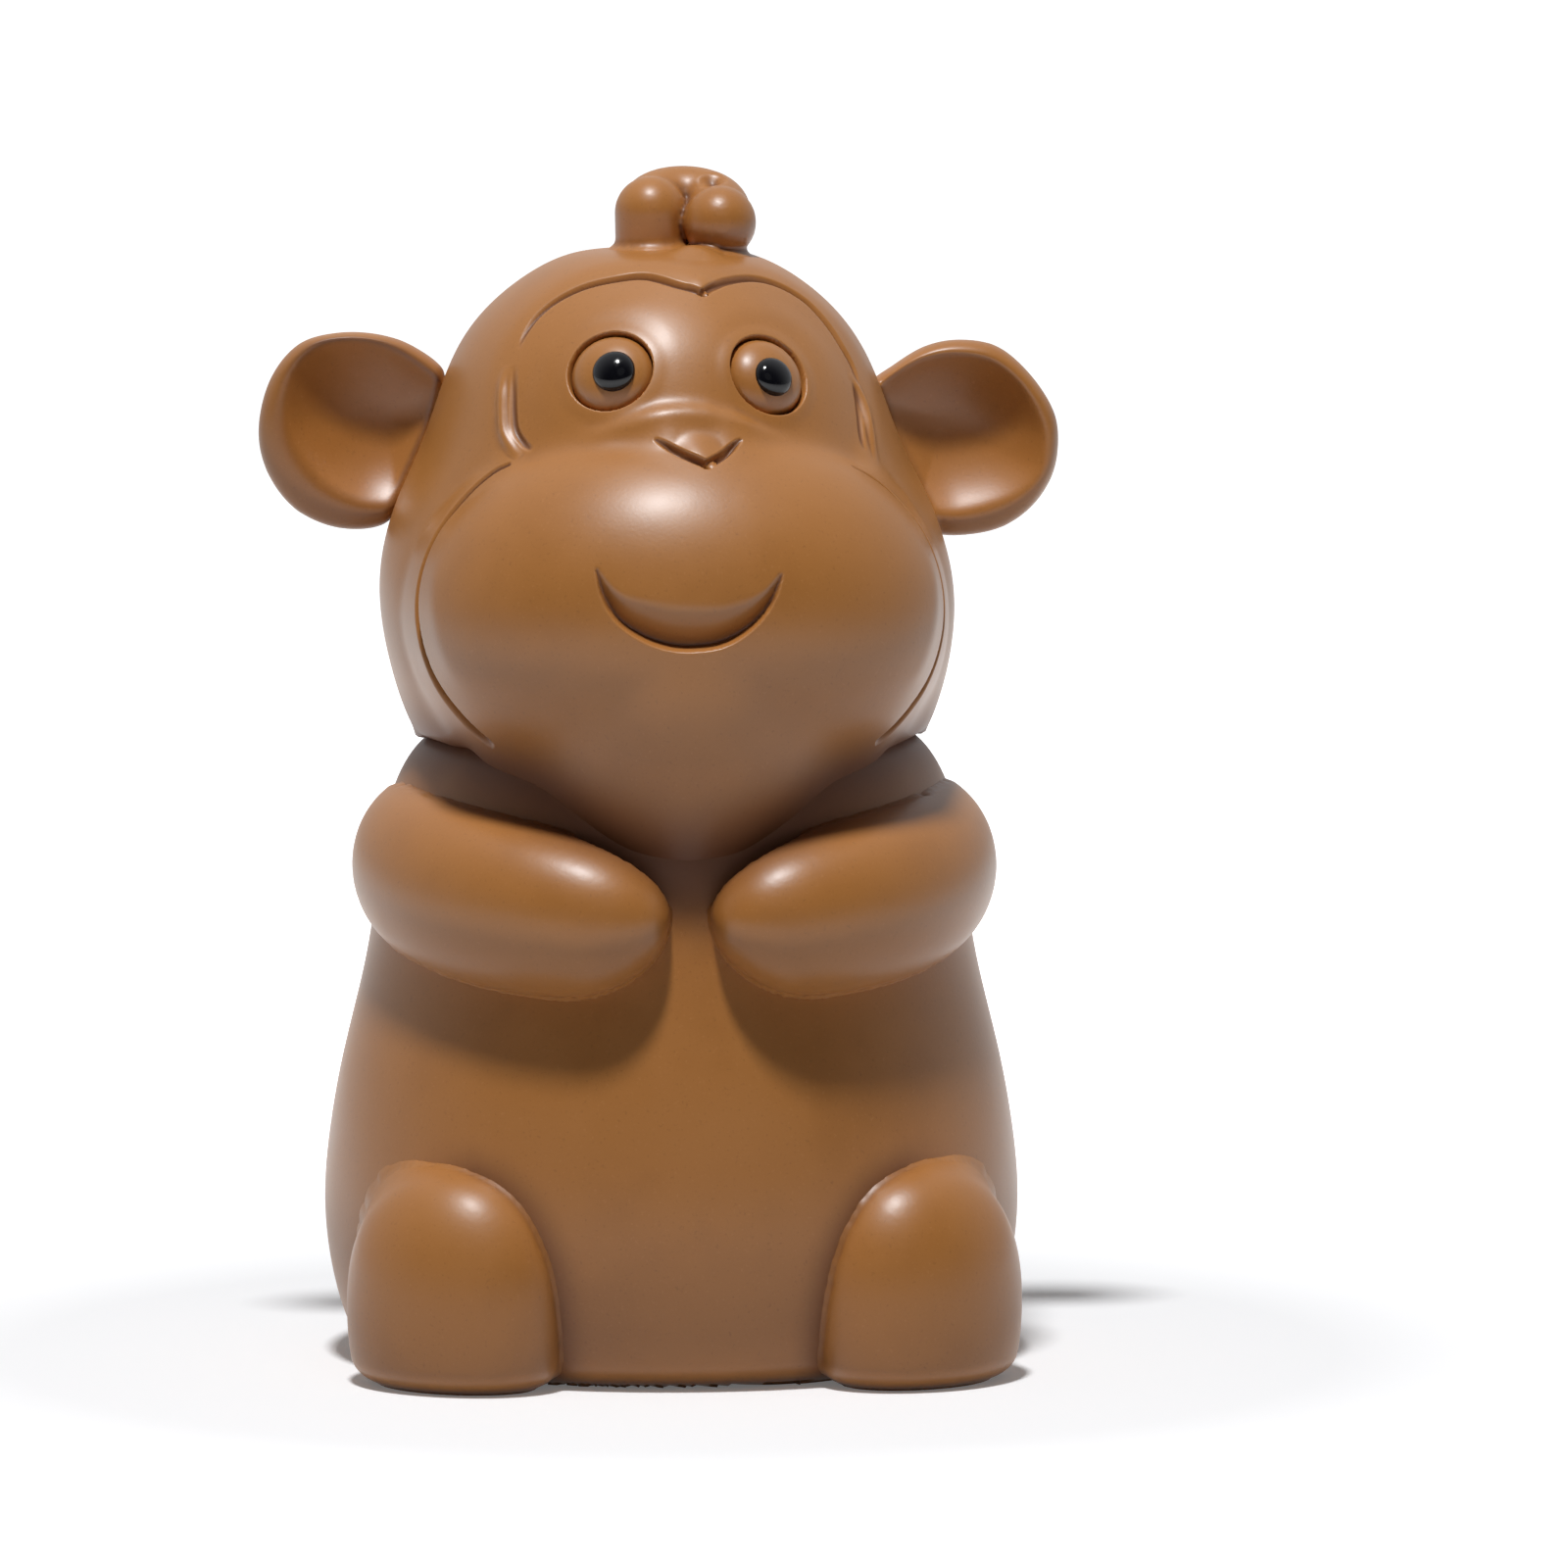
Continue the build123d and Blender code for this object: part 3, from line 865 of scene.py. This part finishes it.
    def carve(self, lump: Lump) -> None:
        """Draws every line, raises the nose and lids, and presses in the eye sockets."""
        surface = lump.surface()
        lips = [(stroke.rows(surface), stroke.tool) for stroke in LIPS]
        lines = [(stroke.rows(surface), stroke.tool) for stroke in (MOUTH, *GROOVES)]
        bosses = [(boss.spot(surface), boss.radius, boss.rise) for boss in (self.nose, self.notch)]
        for rows, tool in lips:
            lump.draw(rows, tool)
        for spot, radius, rise in bosses:
            lump.dome(spot, radius, rise)
        lump.dome(np.array(self.crown_peak), self.crown_radius, self.crown_rise)
        for rows, tool in lines:
            lump.draw(rows, tool)
        for socket in self.sockets:
            self.press_socket(lump, socket)

    def press_socket(self, lump: Lump, socket: Socket) -> None:
        """Presses a round socket into the brow and raises its lid a little."""
        places = lump.points
        gap, along = socket.measure(places)
        front = along > -self.socket_back
        inside = ease((self.socket_radius - gap) / self.socket_edge + 0.5)
        beyond = (gap - self.socket_radius) / (self.lid_reach - self.socket_radius)
        lid = np.where(gap > self.socket_radius, np.clip(1.0 - beyond ** 2, 0.0, None) ** 2, 1.0)
        shift = self.socket_depth * inside - self.lid_rise * lid * (1.0 - inside)
        places -= socket.way * (shift * front)[:, None]
        lump.points = places


def eye_centres() -> tuple[np.ndarray, np.ndarray]:
    """Gives the middles of the two eyeballs."""
    centres = []
    for node in ("eyeball_left", "eyeball_right"):
        low, high = (np.array(corner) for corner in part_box(node))
        radius = (high[0] - low[0]) / 2
        centres.append(np.array(((low[0] + high[0]) / 2, low[1] + radius, (low[2] + high[2]) / 2)))
    return centres[0], centres[1]


@dataclass
class Eyes:
    """Two flattened clay balls in their sockets, each with a glazed black bead."""

    ball_radius: float = 2.76 * MM
    ball_flatness: float = 0.62
    ball_proud: float = 0.85 * MM
    bead_pixels: tuple[Pixel, ...] = ((625, 377), (791, 383))
    bead_radii: tuple[float, ...] = (1.44 * MM, 1.36 * MM)
    bead_flatness: float = 0.60
    bead_proud: float = 0.55 * MM
    fineness: int = 5

    def build(self, sockets: list[Socket], clay: bpy.types.Material, glaze: bpy.types.Material) -> None:
        """Makes and dresses the balls and beads.

        Args:
            sockets: The sockets of the left and the right eye.
            clay: The balls' finish.
            glaze: The beads' finish.
        """
        for side, socket, pixel, radius in zip(("left", "right"), sockets, self.bead_pixels, self.bead_radii):
            middle = socket.spot + socket.way * (self.ball_proud - self.ball_radius * self.ball_flatness)
            ball = self.ball(f"eyeball_{side}_clay", middle, socket.way, self.ball_radius, self.ball_flatness)
            front = np.array(ball.surface().ray_cast(VIEW.eye, VIEW.sight(pixel))[0])
            ball.finish("clay", clay, f"eyeball_{side}")
            middle = front + socket.way * (self.bead_proud - radius * self.bead_flatness)
            bead = self.ball(f"pupil_{side}_bead", middle, socket.way, radius, self.bead_flatness)
            bead.finish("bead", glaze, f"pupil_{side}")

    def ball(self, name: str, centre: np.ndarray, way: np.ndarray, radius: float, flatness: float) -> Lump:
        """Makes a ball at a centre, flattened along the way that it faces."""
        work = bmesh.new()
        bmesh.ops.create_icosphere(work, subdivisions=self.fineness, radius=radius)
        for vert in work.verts:
            vert.co -= Vector(way) * vert.co.dot(way) * (1.0 - flatness)
        bmesh.ops.translate(work, verts=work.verts, vec=Vector(centre))
        return Lump(name, work)


@dataclass
class Ear:
    """A dished ear. Its lip and outer edge follow the photograph, round from the top of its root.

    The depths are those of its parts behind the frame's origin. The section runs from the hollow to the lip at
    dish_share, over the rolled rim to the edge at roll_share, and on to the middle of the back.
    """

    side: str
    lip: tuple[Pixel, ...]
    edge: tuple[Pixel, ...]
    hollow: Pixel
    lip_depth: float = 3.3 * MM
    edge_depth: float = 4.9 * MM
    hollow_depth: float = 5.7 * MM
    back_depth: float = 8.6 * MM
    dish_share: float = 0.46
    roll_share: float = 0.66
    dish_power: float = 2.2
    spans: int = 16
    rings: int = 72
    soft_rounds: int = 10
    fillet: float = 0.6 * MM
    smooth_rounds: int = 8

    def build(self, head: BVHTree) -> Lump:
        """Makes the ear.

        Args:
            head: The head's surface.

        Returns:
            The finished lump.
        """
        columns = self.spans * len(self.lip)
        lip, edge = self.rim(self.lip, self.lip_depth), self.rim(self.edge, self.edge_depth)
        hollow = VIEW.on_depth(self.hollow, self.hollow_depth)
        back = VIEW.on_depth(self.hollow, self.back_depth)
        work = bmesh.new()
        bmesh.ops.create_uvsphere(work, u_segments=columns, v_segments=self.rings, radius=1.0)
        for vert in work.verts:
            polar = math.acos(max(-1.0, min(1.0, vert.co.z))) / math.pi
            column = round((math.atan2(vert.co.y, vert.co.x) / math.tau) * columns) % columns
            vert.co = Vector(self.place(polar, lip[column], edge[column], hollow, back))
        bmesh.ops.recalc_face_normals(work, faces=work.faces)
        bmesh.ops.triangulate(work, faces=work.faces)
        lump = Lump(f"ear_{self.side}_clay", work)
        lump.smooth(self.soft_rounds, hold=False)
        lump.lute(head, self.fillet)
        lump.smooth(self.smooth_rounds)
        return lump

    def rim(self, pixels: tuple[Pixel, ...], depth: float) -> np.ndarray:
        """Gives the closed curve through pixels on the upright plane y = depth."""
        return curve_through(np.array([VIEW.on_depth(pixel, depth) for pixel in pixels]), self.spans, True)

    def place(self, polar: float, lip: np.ndarray, edge: np.ndarray, hollow: np.ndarray, back: np.ndarray
              ) -> np.ndarray:
        """Gives a point of the ear's section, from the hollow over the lip and edge to the back.

        Args:
            polar: How far round the section the point lies, from 0 to 1.
            lip: The lip in this direction.
            edge: The outer edge in this direction.
            hollow: The bottom of the dish.
            back: The middle of the back.

        Returns:
            The point.
        """
        if polar < self.dish_share:
            out = polar / self.dish_share
            point = hollow + (lip - hollow) * out
            point[1] = hollow[1] + (lip[1] - hollow[1]) * out ** self.dish_power
            return point
        if polar < self.roll_share:
            turn = (polar - self.dish_share) / (self.roll_share - self.dish_share) * math.pi / 2
            point = lip + (edge - lip) * math.sin(turn)
            point[1] = lip[1] + (edge[1] - lip[1]) * (1.0 - math.cos(turn))
            return point
        turn = (polar - self.roll_share) / (1.0 - self.roll_share) * math.pi / 2
        point = back + (edge - back) * math.cos(turn)
        point[1] = edge[1] + (back[1] - edge[1]) * math.sin(turn)
        return point


EARS = (
    Ear("left",
        ((450, 392), (420, 366), (388, 350), (352, 346), (322, 353), (298, 376), (287, 416),
         (294, 452), (320, 488), (360, 511), (396, 515), (416, 505), (440, 470), (455, 430)),
        ((456, 381), (424, 354), (388, 341), (345, 339), (304, 351), (275, 387), (263, 437),
         (271, 480), (297, 517), (335, 537), (375, 540), (405, 528), (440, 500), (470, 430)),
        (392, 424)),
    Ear("right",
        ((893, 402), (915, 380), (945, 365), (979, 361), (1015, 369), (1045, 394), (1064, 428), (1068, 455),
         (1061, 483), (1040, 503), (1010, 516), (975, 523), (945, 518), (930, 508), (905, 470), (893, 430)),
        ((887, 392), (910, 373), (943, 353), (979, 346), (1018, 353), (1051, 381), (1075, 418), (1080, 452),
         (1073, 487), (1051, 519), (1018, 540), (975, 547), (945, 542), (925, 525), (895, 480), (880, 430)),
        (966, 428)),
)


@dataclass
class Lock:
    """The lock of hair, one roll that curls over into a ball."""

    voxel: float = 0.16 * MM
    dimple: Boss = Boss((727, 183), 1.1 * MM, -0.55 * MM)
    fillet: float = 0.7 * MM
    smooth_rounds: int = 4

    def build(self, head: BVHTree) -> Lump:
        """Makes the lock on the head's surface."""
        lump = kneaded("hair_curl_clay", "hair_curl", self.voxel, head)
        lump.dome(self.dimple.spot(lump.surface()), self.dimple.radius, self.dimple.rise)
        lump.lute(head, self.fillet)
        lump.smooth(self.smooth_rounds)
        return lump


@dataclass
class Body:
    """The bell of the body, open below for the disc that closes it."""

    centre: Triple = (0.0, 0.0, 0.020)
    fill_rounds: int = 300
    skin_rounds: int = 16
    firm_height: float = 3.0 * MM       # below it, smoothing fades towards the ground
    foot_radius: float = 2.0 * MM
    foot_height: float = 2.4 * MM
    foot_inside: float = 12.0 * MM
    foot_outside: float = 20.5 * MM
    flat_height: float = 0.05 * MM
    under_height: float = 0.3 * MM
    hollow_foot: float = 0.6 * MM
    hollow_height: float = 26.0 * MM
    # shares of the disc's radius: the band of vertices moved to its rim, and where they come to lie
    seam: float = 0.03
    inside_seam: float = 0.998
    outside_seam: float = 1.004

    def build(self) -> Lump:
        """Makes the body."""
        skin = Skin("body", ("body_shell", "base_disc"), self.centre)
        lump = skin.cast()
        skin.fill(lump, ~skin.known, self.fill_rounds)
        lump.smooth(self.skin_rounds, np.clip(lump.points[:, 2] / self.firm_height, 0.0, 1.0))
        reach = np.linalg.norm(lump.points[:, :2], axis=1)
        lump.refine((lump.points[:, 2] < self.foot_height) & (reach > self.foot_outside - self.foot_radius))
        flat = lump.points
        lump.round_foot(self.foot_radius)
        self.draw_in(lump, flat)
        self.open_below(lump)
        return lump

    def draw_in(self, lump: Lump, flat: np.ndarray) -> None:
        """Draws the underside in by as much as the foot was rounded, so that none of it stands out.

        Args:
            lump: The body.
            flat: Its places before the foot was rounded.
        """
        places = lump.points
        under = flat[:, 2] < self.flat_height
        reach = np.linalg.norm(flat[:, :2], axis=1)
        share = ease((reach - self.foot_inside) / (self.foot_outside - self.foot_inside))
        inward = self.foot_radius * share / np.maximum(reach, MM)
        places[under] = (flat * (1.0 - inward[:, None]) * (1.0, 1.0, 0.0))[under]
        lump.points = places

    def open_below(self, lump: Lump) -> None:
        """Presses the middle of the underside up into the hollow, along the disc's rim."""
        low, high = (np.array(corner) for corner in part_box("base_disc"))
        places = lump.points
        spread = np.linalg.norm(places[:, :2] / high[:2], axis=1)
        under = places[:, 2] < self.under_height
        rim = under & (np.abs(spread - 1.0) < self.seam)
        inner = under & (spread < 1.0)
        snapped = np.where(spread < 1.0, self.inside_seam, self.outside_seam)
        places[rim, :2] *= (snapped / spread)[rim, None]
        spread = np.linalg.norm(places[:, :2] / high[:2], axis=1)
        arch = np.sqrt(np.clip(1.0 - spread[inner] ** 2, 0.0, 1.0))
        places[inner, 2] = self.hollow_foot + self.hollow_height * arch
        lump.points = places


@dataclass
class Limbs:
    """Arms, legs and tail, rolls of clay luted to the body."""

    voxel: float = 0.22 * MM
    arm_fillet: float = 0.25 * MM
    leg_fillet: float = 0.3 * MM
    hip_fillet: float = 2.0 * MM
    hip_from: float = 15.5 * MM
    hip_span: float = 5.0 * MM
    tail_fillet: float = 1.0 * MM
    hand_height: float = 31.9 * MM
    hand_length: float = 11.0 * MM
    hand_taper: float = 1.5 * MM
    hand_rise: float = 6.0 * MM
    hand_power: float = 1.5
    hand_fading: float = 10.0 * MM
    foot_radius: float = 1.7 * MM
    smooth_rounds: int = 6

    def build(self, body: BVHTree) -> list[tuple[Lump, str]]:
        """Makes the five rolls.

        Args:
            body: The body's surface.

        Returns:
            Each lump with the node that it stands for.
        """
        made = []
        for node, fillet in (("arm_left", self.arm_fillet), ("arm_right", self.arm_fillet),
                             ("leg_left", self.leg_fillet), ("leg_right", self.leg_fillet),
                             ("tail", self.tail_fillet)):
            lump = kneaded(f"{node}_clay", node, self.voxel, body)
            lump.lute(body, fillet)
            if node.startswith("arm"):
                self.taper_hand(lump)
            if node.startswith("leg"):
                hip = ease((np.abs(lump.points[:, 0]) - self.hip_from) / self.hip_span)
                lump.lute(body, self.hip_fillet, hip)
                lump.round_foot(self.foot_radius)
            lump.smooth(self.smooth_rounds)
            self.keep_above_ground(lump)
            made.append((lump, node))
        return made

    def taper_hand(self, lump: Lump) -> None:
        """Draws the underside of a hand back, so that the hand ends in a point above."""
        places = lump.points
        low = np.clip((self.hand_height - places[:, 2]) / self.hand_rise, 0.0, 1.0) ** self.hand_power
        inner = ease((self.hand_length - np.abs(places[:, 0])) / self.hand_fading)
        places[:, 0] += np.sign(places[:, 0]) * self.hand_taper * low * inner
        lump.points = places

    @staticmethod
    def keep_above_ground(lump: Lump) -> None:
        """Keeps every point on or above the ground."""
        places = lump.points
        places[:, 2] = np.maximum(places[:, 2], 0.0)
        lump.points = places


class NodeTree:
    """Short calls to add, set and join shader nodes."""

    # a mix node's two inputs and its output
    MIXED = {"FLOAT": (2, 3, 0), "RGBA": (6, 7, 2)}

    def __init__(self, tree: bpy.types.NodeTree) -> None:
        """Takes the tree to work on."""
        self.tree = tree

    def feed(self, target: bpy.types.NodeSocket, value: object) -> None:
        """Gives an input a constant, or joins it to another node's output."""
        if isinstance(value, bpy.types.NodeSocket):
            self.tree.links.new(value, target)
        else:
            target.default_value = value

    def set(self, node: bpy.types.Node, **values: object) -> bpy.types.Node:
        """Sets a node.

        Args:
            node: The node.
            values: Properties by name, or inputs by name with underscores for spaces. An input gets a
                constant or another node's output.

        Returns:
            The node.
        """
        for name, value in values.items():
            if name in node.bl_rna.properties:
                setattr(node, name, value)
            else:
                self.feed(node.inputs[name.replace("_", " ")], value)
        return node

    def add(self, kind: str, **values: object) -> bpy.types.Node:
        """Adds a node of a kind and sets it."""
        return self.set(self.tree.nodes.new(kind), **values)

    def math(self, operation: str, one: object, two: object) -> bpy.types.NodeSocket:
        """Works on two values."""
        node = self.add("ShaderNodeMath", operation=operation)
        self.feed(node.inputs[0], one)
        self.feed(node.inputs[1], two)
        return node.outputs[0]

    def mix(self, kind: str, share: object, one: object, two: object) -> bpy.types.NodeSocket:
        """Mixes two values or colours, all of the second where the share is 1."""
        node = self.add("ShaderNodeMix", data_type=kind)
        first, second, result = self.MIXED[kind]
        for index, value in ((0, share), (first, one), (second, two)):
            self.feed(node.inputs[index], value)
        return node.outputs[result]

    def spread(self, value: bpy.types.NodeSocket, low: float, high: float, least: float, most: float,
               **values: object) -> bpy.types.NodeSocket:
        """Maps a value that runs from low to high to one that runs from least to most."""
        node = self.add("ShaderNodeMapRange", Value=value, From_Min=low, From_Max=high,
                        To_Min=least, To_Max=most, **values)
        return node.outputs["Result"]

    @classmethod
    def of_material(cls, name: str) -> tuple[bpy.types.Material, "NodeTree", bpy.types.Node]:
        """Makes a material and gives it with its tree and its shader."""
        material = bpy.data.materials.new(name)
        material.use_nodes = True
        return material, cls(material.node_tree), material.node_tree.nodes["Principled BSDF"]


def clay_group() -> bpy.types.NodeTree:
    """Builds the look that all fired clay here shares: mottled tone, sand grains, rubbed edges, and painted
    shade in hollows and beside neighbouring pieces.

    Returns:
        The shader node group.
    """
    group = bpy.data.node_groups.new("fired_clay", "ShaderNodeTree")
    for way, kind, names in (("INPUT", "NodeSocketVector", ("Place",)),
                             ("INPUT", "NodeSocketColor", ("Clay", "Pale", "Deep")),
                             ("INPUT", "NodeSocketFloat", ("Mottle Scale", "Grain Scale", "Hollow", "Raised",
                                                           "Painted_shade", "Satin")),
                             ("OUTPUT", "NodeSocketColor", ("Colour",)),
                             ("OUTPUT", "NodeSocketFloat", ("Roughness", "Height"))):
        for name in names:
            group.interface.new_socket(name=name, in_out=way, socket_type=kind)
    tree = NodeTree(group)
    inputs = tree.add("NodeGroupInput").outputs
    outputs = tree.add("NodeGroupOutput").inputs
    mottle = tree.add("ShaderNodeTexNoise", Vector=inputs["Place"], Scale=inputs["Mottle Scale"],
                      Detail=3.0, Roughness=0.6).outputs["Fac"]
    grain = tree.add("ShaderNodeTexNoise", Vector=inputs["Place"], Scale=inputs["Grain Scale"],
                     Detail=2.0, Roughness=0.5).outputs["Fac"]

    tone = inputs["Clay"]
    # what tints the clay, where the tint starts and is full, its strength and its colour
    for source, low, high, most, colour in ((mottle, 0.35, 0.75, 0.30, "Pale"),
                                            (mottle, 0.50, 0.25, 0.12, "Deep"),
                                            (grain, 0.62, 0.78, 0.45, "Pale"),
                                            (grain, 0.38, 0.22, 0.22, "Deep"),
                                            (inputs["Raised"], 0.1, 1.0, 0.25, "Pale"),
                                            # painted shade: darker in hollows and creases, and beside
                                            # neighbouring pieces
                                            (inputs["Hollow"], 0.05, 0.9, 0.75, "Deep"),
                                            (inputs["Painted_shade"], 0.0, 1.0, 0.85, "Deep")):
        tone = tree.mix("RGBA", tree.spread(source, low, high, 0.0, most), tone, inputs[colour])
    tree.feed(outputs["Colour"], tone)

    rough = inputs["Satin"]
    for source, low, high, least, most in ((mottle, 0.3, 0.7, -0.03, 0.03),
                                           (inputs["Hollow"], 0.0, 1.0, 0.0, 0.15),
                                           (inputs["Painted_shade"], 0.0, 1.0, 0.0, 0.20)):
        rough = tree.math("ADD", rough, tree.spread(source, low, high, least, most))
    tree.feed(outputs["Roughness"], rough)
    fine, coarse = tree.spread(grain, 0.3, 0.7, 0.0, 0.25), tree.spread(mottle, 0.2, 0.8, 0.0, 2.0)
    tree.feed(outputs["Height"], tree.math("ADD", fine, coarse))
    return group


@dataclass(frozen=True)
class FiredClay:
    """Burnished unglazed clay."""

    name: str
    colour: Triple = (0.415, 0.162, 0.032)
    pale: Triple = (0.50, 0.215, 0.062)
    # dark tone of the mottle and grain, and the colour of the painted shade
    deep: Triple = (0.100, 0.028, 0.008)
    mottle_scale: float = 90.0
    grain_scale: float = 4200.0
    satin: float = 0.42
    coat: float = 0.24
    coat_roughness: float = 0.32
    sheen_of_light: Triple = (0.80, 0.92, 1.0)
    bump: float = 0.35
    bump_height: float = 0.03 * MM

    def make(self, group: bpy.types.NodeTree) -> bpy.types.Material:
        """Makes the material from the shared clay group."""
        material, tree, shader = NodeTree.of_material(self.name)
        place = tree.add("ShaderNodeTexCoord").outputs["Object"]
        clay = tree.add("ShaderNodeGroup", node_tree=group, Place=place, Satin=self.satin,
                        Mottle_Scale=self.mottle_scale, Grain_Scale=self.grain_scale,
                        Clay=(*self.colour, 1.0), Pale=(*self.pale, 1.0), Deep=(*self.deep, 1.0))
        # two of these attributes darken the clay as painted shade in hollows and beside neighbouring pieces;
        # raised makes rubbed edges paler
        for attribute in ("hollow", "raised", "painted_shade"):
            layer = tree.add("ShaderNodeAttribute", attribute_name=attribute)
            tree.feed(clay.inputs[attribute.capitalize()], layer.outputs["Fac"])
        bump = tree.add("ShaderNodeBump", Strength=self.bump, Distance=self.bump_height,
                        Height=clay.outputs["Height"])
        tree.set(shader, Base_Color=clay.outputs["Colour"], Roughness=clay.outputs["Roughness"],
                 Normal=bump.outputs["Normal"], Specular_Tint=(*self.sheen_of_light, 1.0),
                 Coat_Weight=self.coat, Coat_Roughness=self.coat_roughness)
        return material


@dataclass(frozen=True)
class Glaze:
    """Glossy black glaze of the beads."""

    name: str
    colour: Triple = (0.004, 0.004, 0.006)
    roughness: float = 0.08
    dust_scale: float = 2500.0
    dust_roughness: float = 0.22
    gloss: float = 0.36

    def make(self) -> bpy.types.Material:
        """Makes the material, with faint dust in the glaze."""
        material, tree, shader = NodeTree.of_material(self.name)
        dust = tree.add("ShaderNodeTexNoise", Scale=self.dust_scale, Detail=2.0,
                        Vector=tree.add("ShaderNodeTexCoord").outputs["Object"]).outputs["Fac"]
        tree.set(shader, Base_Color=(*self.colour, 1.0), Specular_IOR_Level=self.gloss,
                 Roughness=tree.spread(dust, 0.4, 0.8, self.roughness, self.dust_roughness))
        return material


@dataclass
class Studio:
    """White ground, white surroundings and two soft lamps."""

    floor_size: float = 12.0
    floor_height: float = 0.06 * MM
    floor_colour: Triple = (0.90, 0.91, 0.93)
    floor_bounce: Triple = (0.60, 0.62, 0.70)
    floor_roughness: float = 0.9
    floor_glow: float = 0.13
    clear_from: float = 0.045
    clear_to: float = 0.13
    surround: float = 0.13
    surround_ahead: float = 0.04
    surround_gloss: float = 0.72
    surround_seen: float = 1.05
    surround_colour: Triple = (0.96, 0.975, 1.0)
    ahead_from: float = -0.70
    behind_from: float = 0.30
    key_power: float = 4.65
    key_size: float = 0.085
    key_from: Triple = (-0.055, -0.21, 0.715)
    fill_power: float = 0.10
    fill_size: float = 0.5
    fill_from: Triple = (0.10, -0.75, 0.55)
    aim: Triple = (0.0, 0.0, 0.045)

    def build(self) -> None:
        """Sets up the ground, the world and the lamps."""
        bpy.context.scene.view_settings.view_transform = "Standard"
        self.ground()
        self.world()
        self.lamp("key", self.key_power, self.key_size, self.key_from)
        self.lamp("fill", self.fill_power, self.fill_size, self.fill_from)

    def ground(self) -> None:
        """Makes the white floor, which keeps the figurine's shadow."""
        work = bmesh.new()
        bmesh.ops.create_grid(work, x_segments=1, y_segments=1, size=self.floor_size / 2)
        bmesh.ops.translate(work, verts=work.verts, vec=(0.0, 0.0, self.floor_height))
        mesh = bpy.data.meshes.new("floor")
        work.to_mesh(mesh)
        work.free()
        floor = add_object("floor", mesh)
        material, tree, shader = NodeTree.of_material("white_ground")
        path = tree.add("ShaderNodeLightPath").outputs
        shown = tree.math("MAXIMUM", path["Is Camera Ray"], path["Is Glossy Ray"])
        span = tree.add("ShaderNodeVectorMath", operation="LENGTH",
                        Vector=tree.add("ShaderNodeTexCoord").outputs["Object"]).outputs["Value"]
        glow = tree.spread(span, self.clear_from, self.clear_to, self.floor_glow, 1.0)
        tree.set(shader, Roughness=self.floor_roughness, Emission_Color=(1.0, 1.0, 1.0, 1.0),
                 Base_Color=tree.mix("RGBA", shown, (*self.floor_bounce, 1.0), (*self.floor_colour, 1.0)),
                 Emission_Strength=tree.math("MULTIPLY", glow, shown))
        mesh.materials.append(material)

    def world(self) -> None:
        """Makes the surroundings white to the eye, and as a light white at the back and dim in front."""
        world = bpy.data.worlds.new("surroundings")
        bpy.context.scene.world = world
        world.use_nodes = True
        tree = NodeTree(world.node_tree)
        parts = tree.add("ShaderNodeSeparateXYZ", Vector=tree.add("ShaderNodeTexCoord").outputs["Generated"])
        light = tree.spread(parts.outputs["Y"], self.ahead_from, self.behind_from, self.surround_ahead, 1.0,
                            interpolation_type="SMOOTHSTEP")
        path = tree.add("ShaderNodeLightPath").outputs
        level = tree.spread(path["Is Glossy Ray"], 0.0, 1.0, self.surround, self.surround_gloss)
        clear = tree.math("MAXIMUM", path["Is Camera Ray"], path["Is Transmission Ray"])
        strength = tree.mix("FLOAT", clear, tree.math("MULTIPLY", light, level), self.surround_seen)
        tree.set(world.node_tree.nodes["Background"], Color=(*self.surround_colour, 1.0), Strength=strength)

    def lamp(self, name: str, power: float, size: float, place: Triple) -> None:
        """Hangs a soft lamp that points at the figurine."""
        data = bpy.data.lights.new(name, "AREA")
        data.energy = power
        data.shape = "DISK"
        data.size = size
        lamp = add_object(name, data)
        lamp.location = place
        look_along(lamp, Vector(self.aim) - Vector(place))


def main() -> None:
    """Builds the figurine piece by piece, dresses it and lights it."""
    logging.basicConfig(level=logging.INFO, format="%(message)s")
    VIEW.place()
    clay = FiredClay("clay").make(clay_group())
    glaze = Glaze("bead").make()

    face = Head()
    head = face.build()
    head_surface = head.surface()
    for ear in EARS:
        ear.build(head_surface).finish("clay", clay, f"ear_{ear.side}")
    Lock().build(head_surface).finish("clay", clay, "hair_curl")
    Eyes().build(face.sockets, clay, glaze)

    body = Body().build()
    body_surface = body.surface()
    limbs = Limbs().build(body_surface)
    # painted shade: the clay is darkened beside the head, arms and legs, where shade falls between pieces
    beside_head = Neighbour(head_surface)
    beside_arms = [Neighbour(limb.surface()) for limb, node in limbs if node.startswith("arm")]
    beside_legs = [Neighbour(limb.surface(), **LEG_PAINTED_SHADE) for limb, node in limbs if node.startswith("leg")]
    head.mark_painted_shade(Neighbour(body_surface), *beside_arms)
    body.mark_painted_shade(beside_head, *beside_legs)
    for limb, node in limbs:
        hips = [Neighbour(body_surface, **HIP_PAINTED_SHADE)] if node.startswith("leg") else []
        limb.mark_painted_shade(beside_head, *hips)
        limb.finish("clay", clay, node)
    head.finish("clay", clay, "head_shell", "face_mask")
    body.finish("clay", clay, "body_shell")
    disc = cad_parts["base_disc"]
    disc.data.materials.clear()
    disc.data.materials.append(clay)

    Studio().build()


if __name__ == "__main__":
    main()
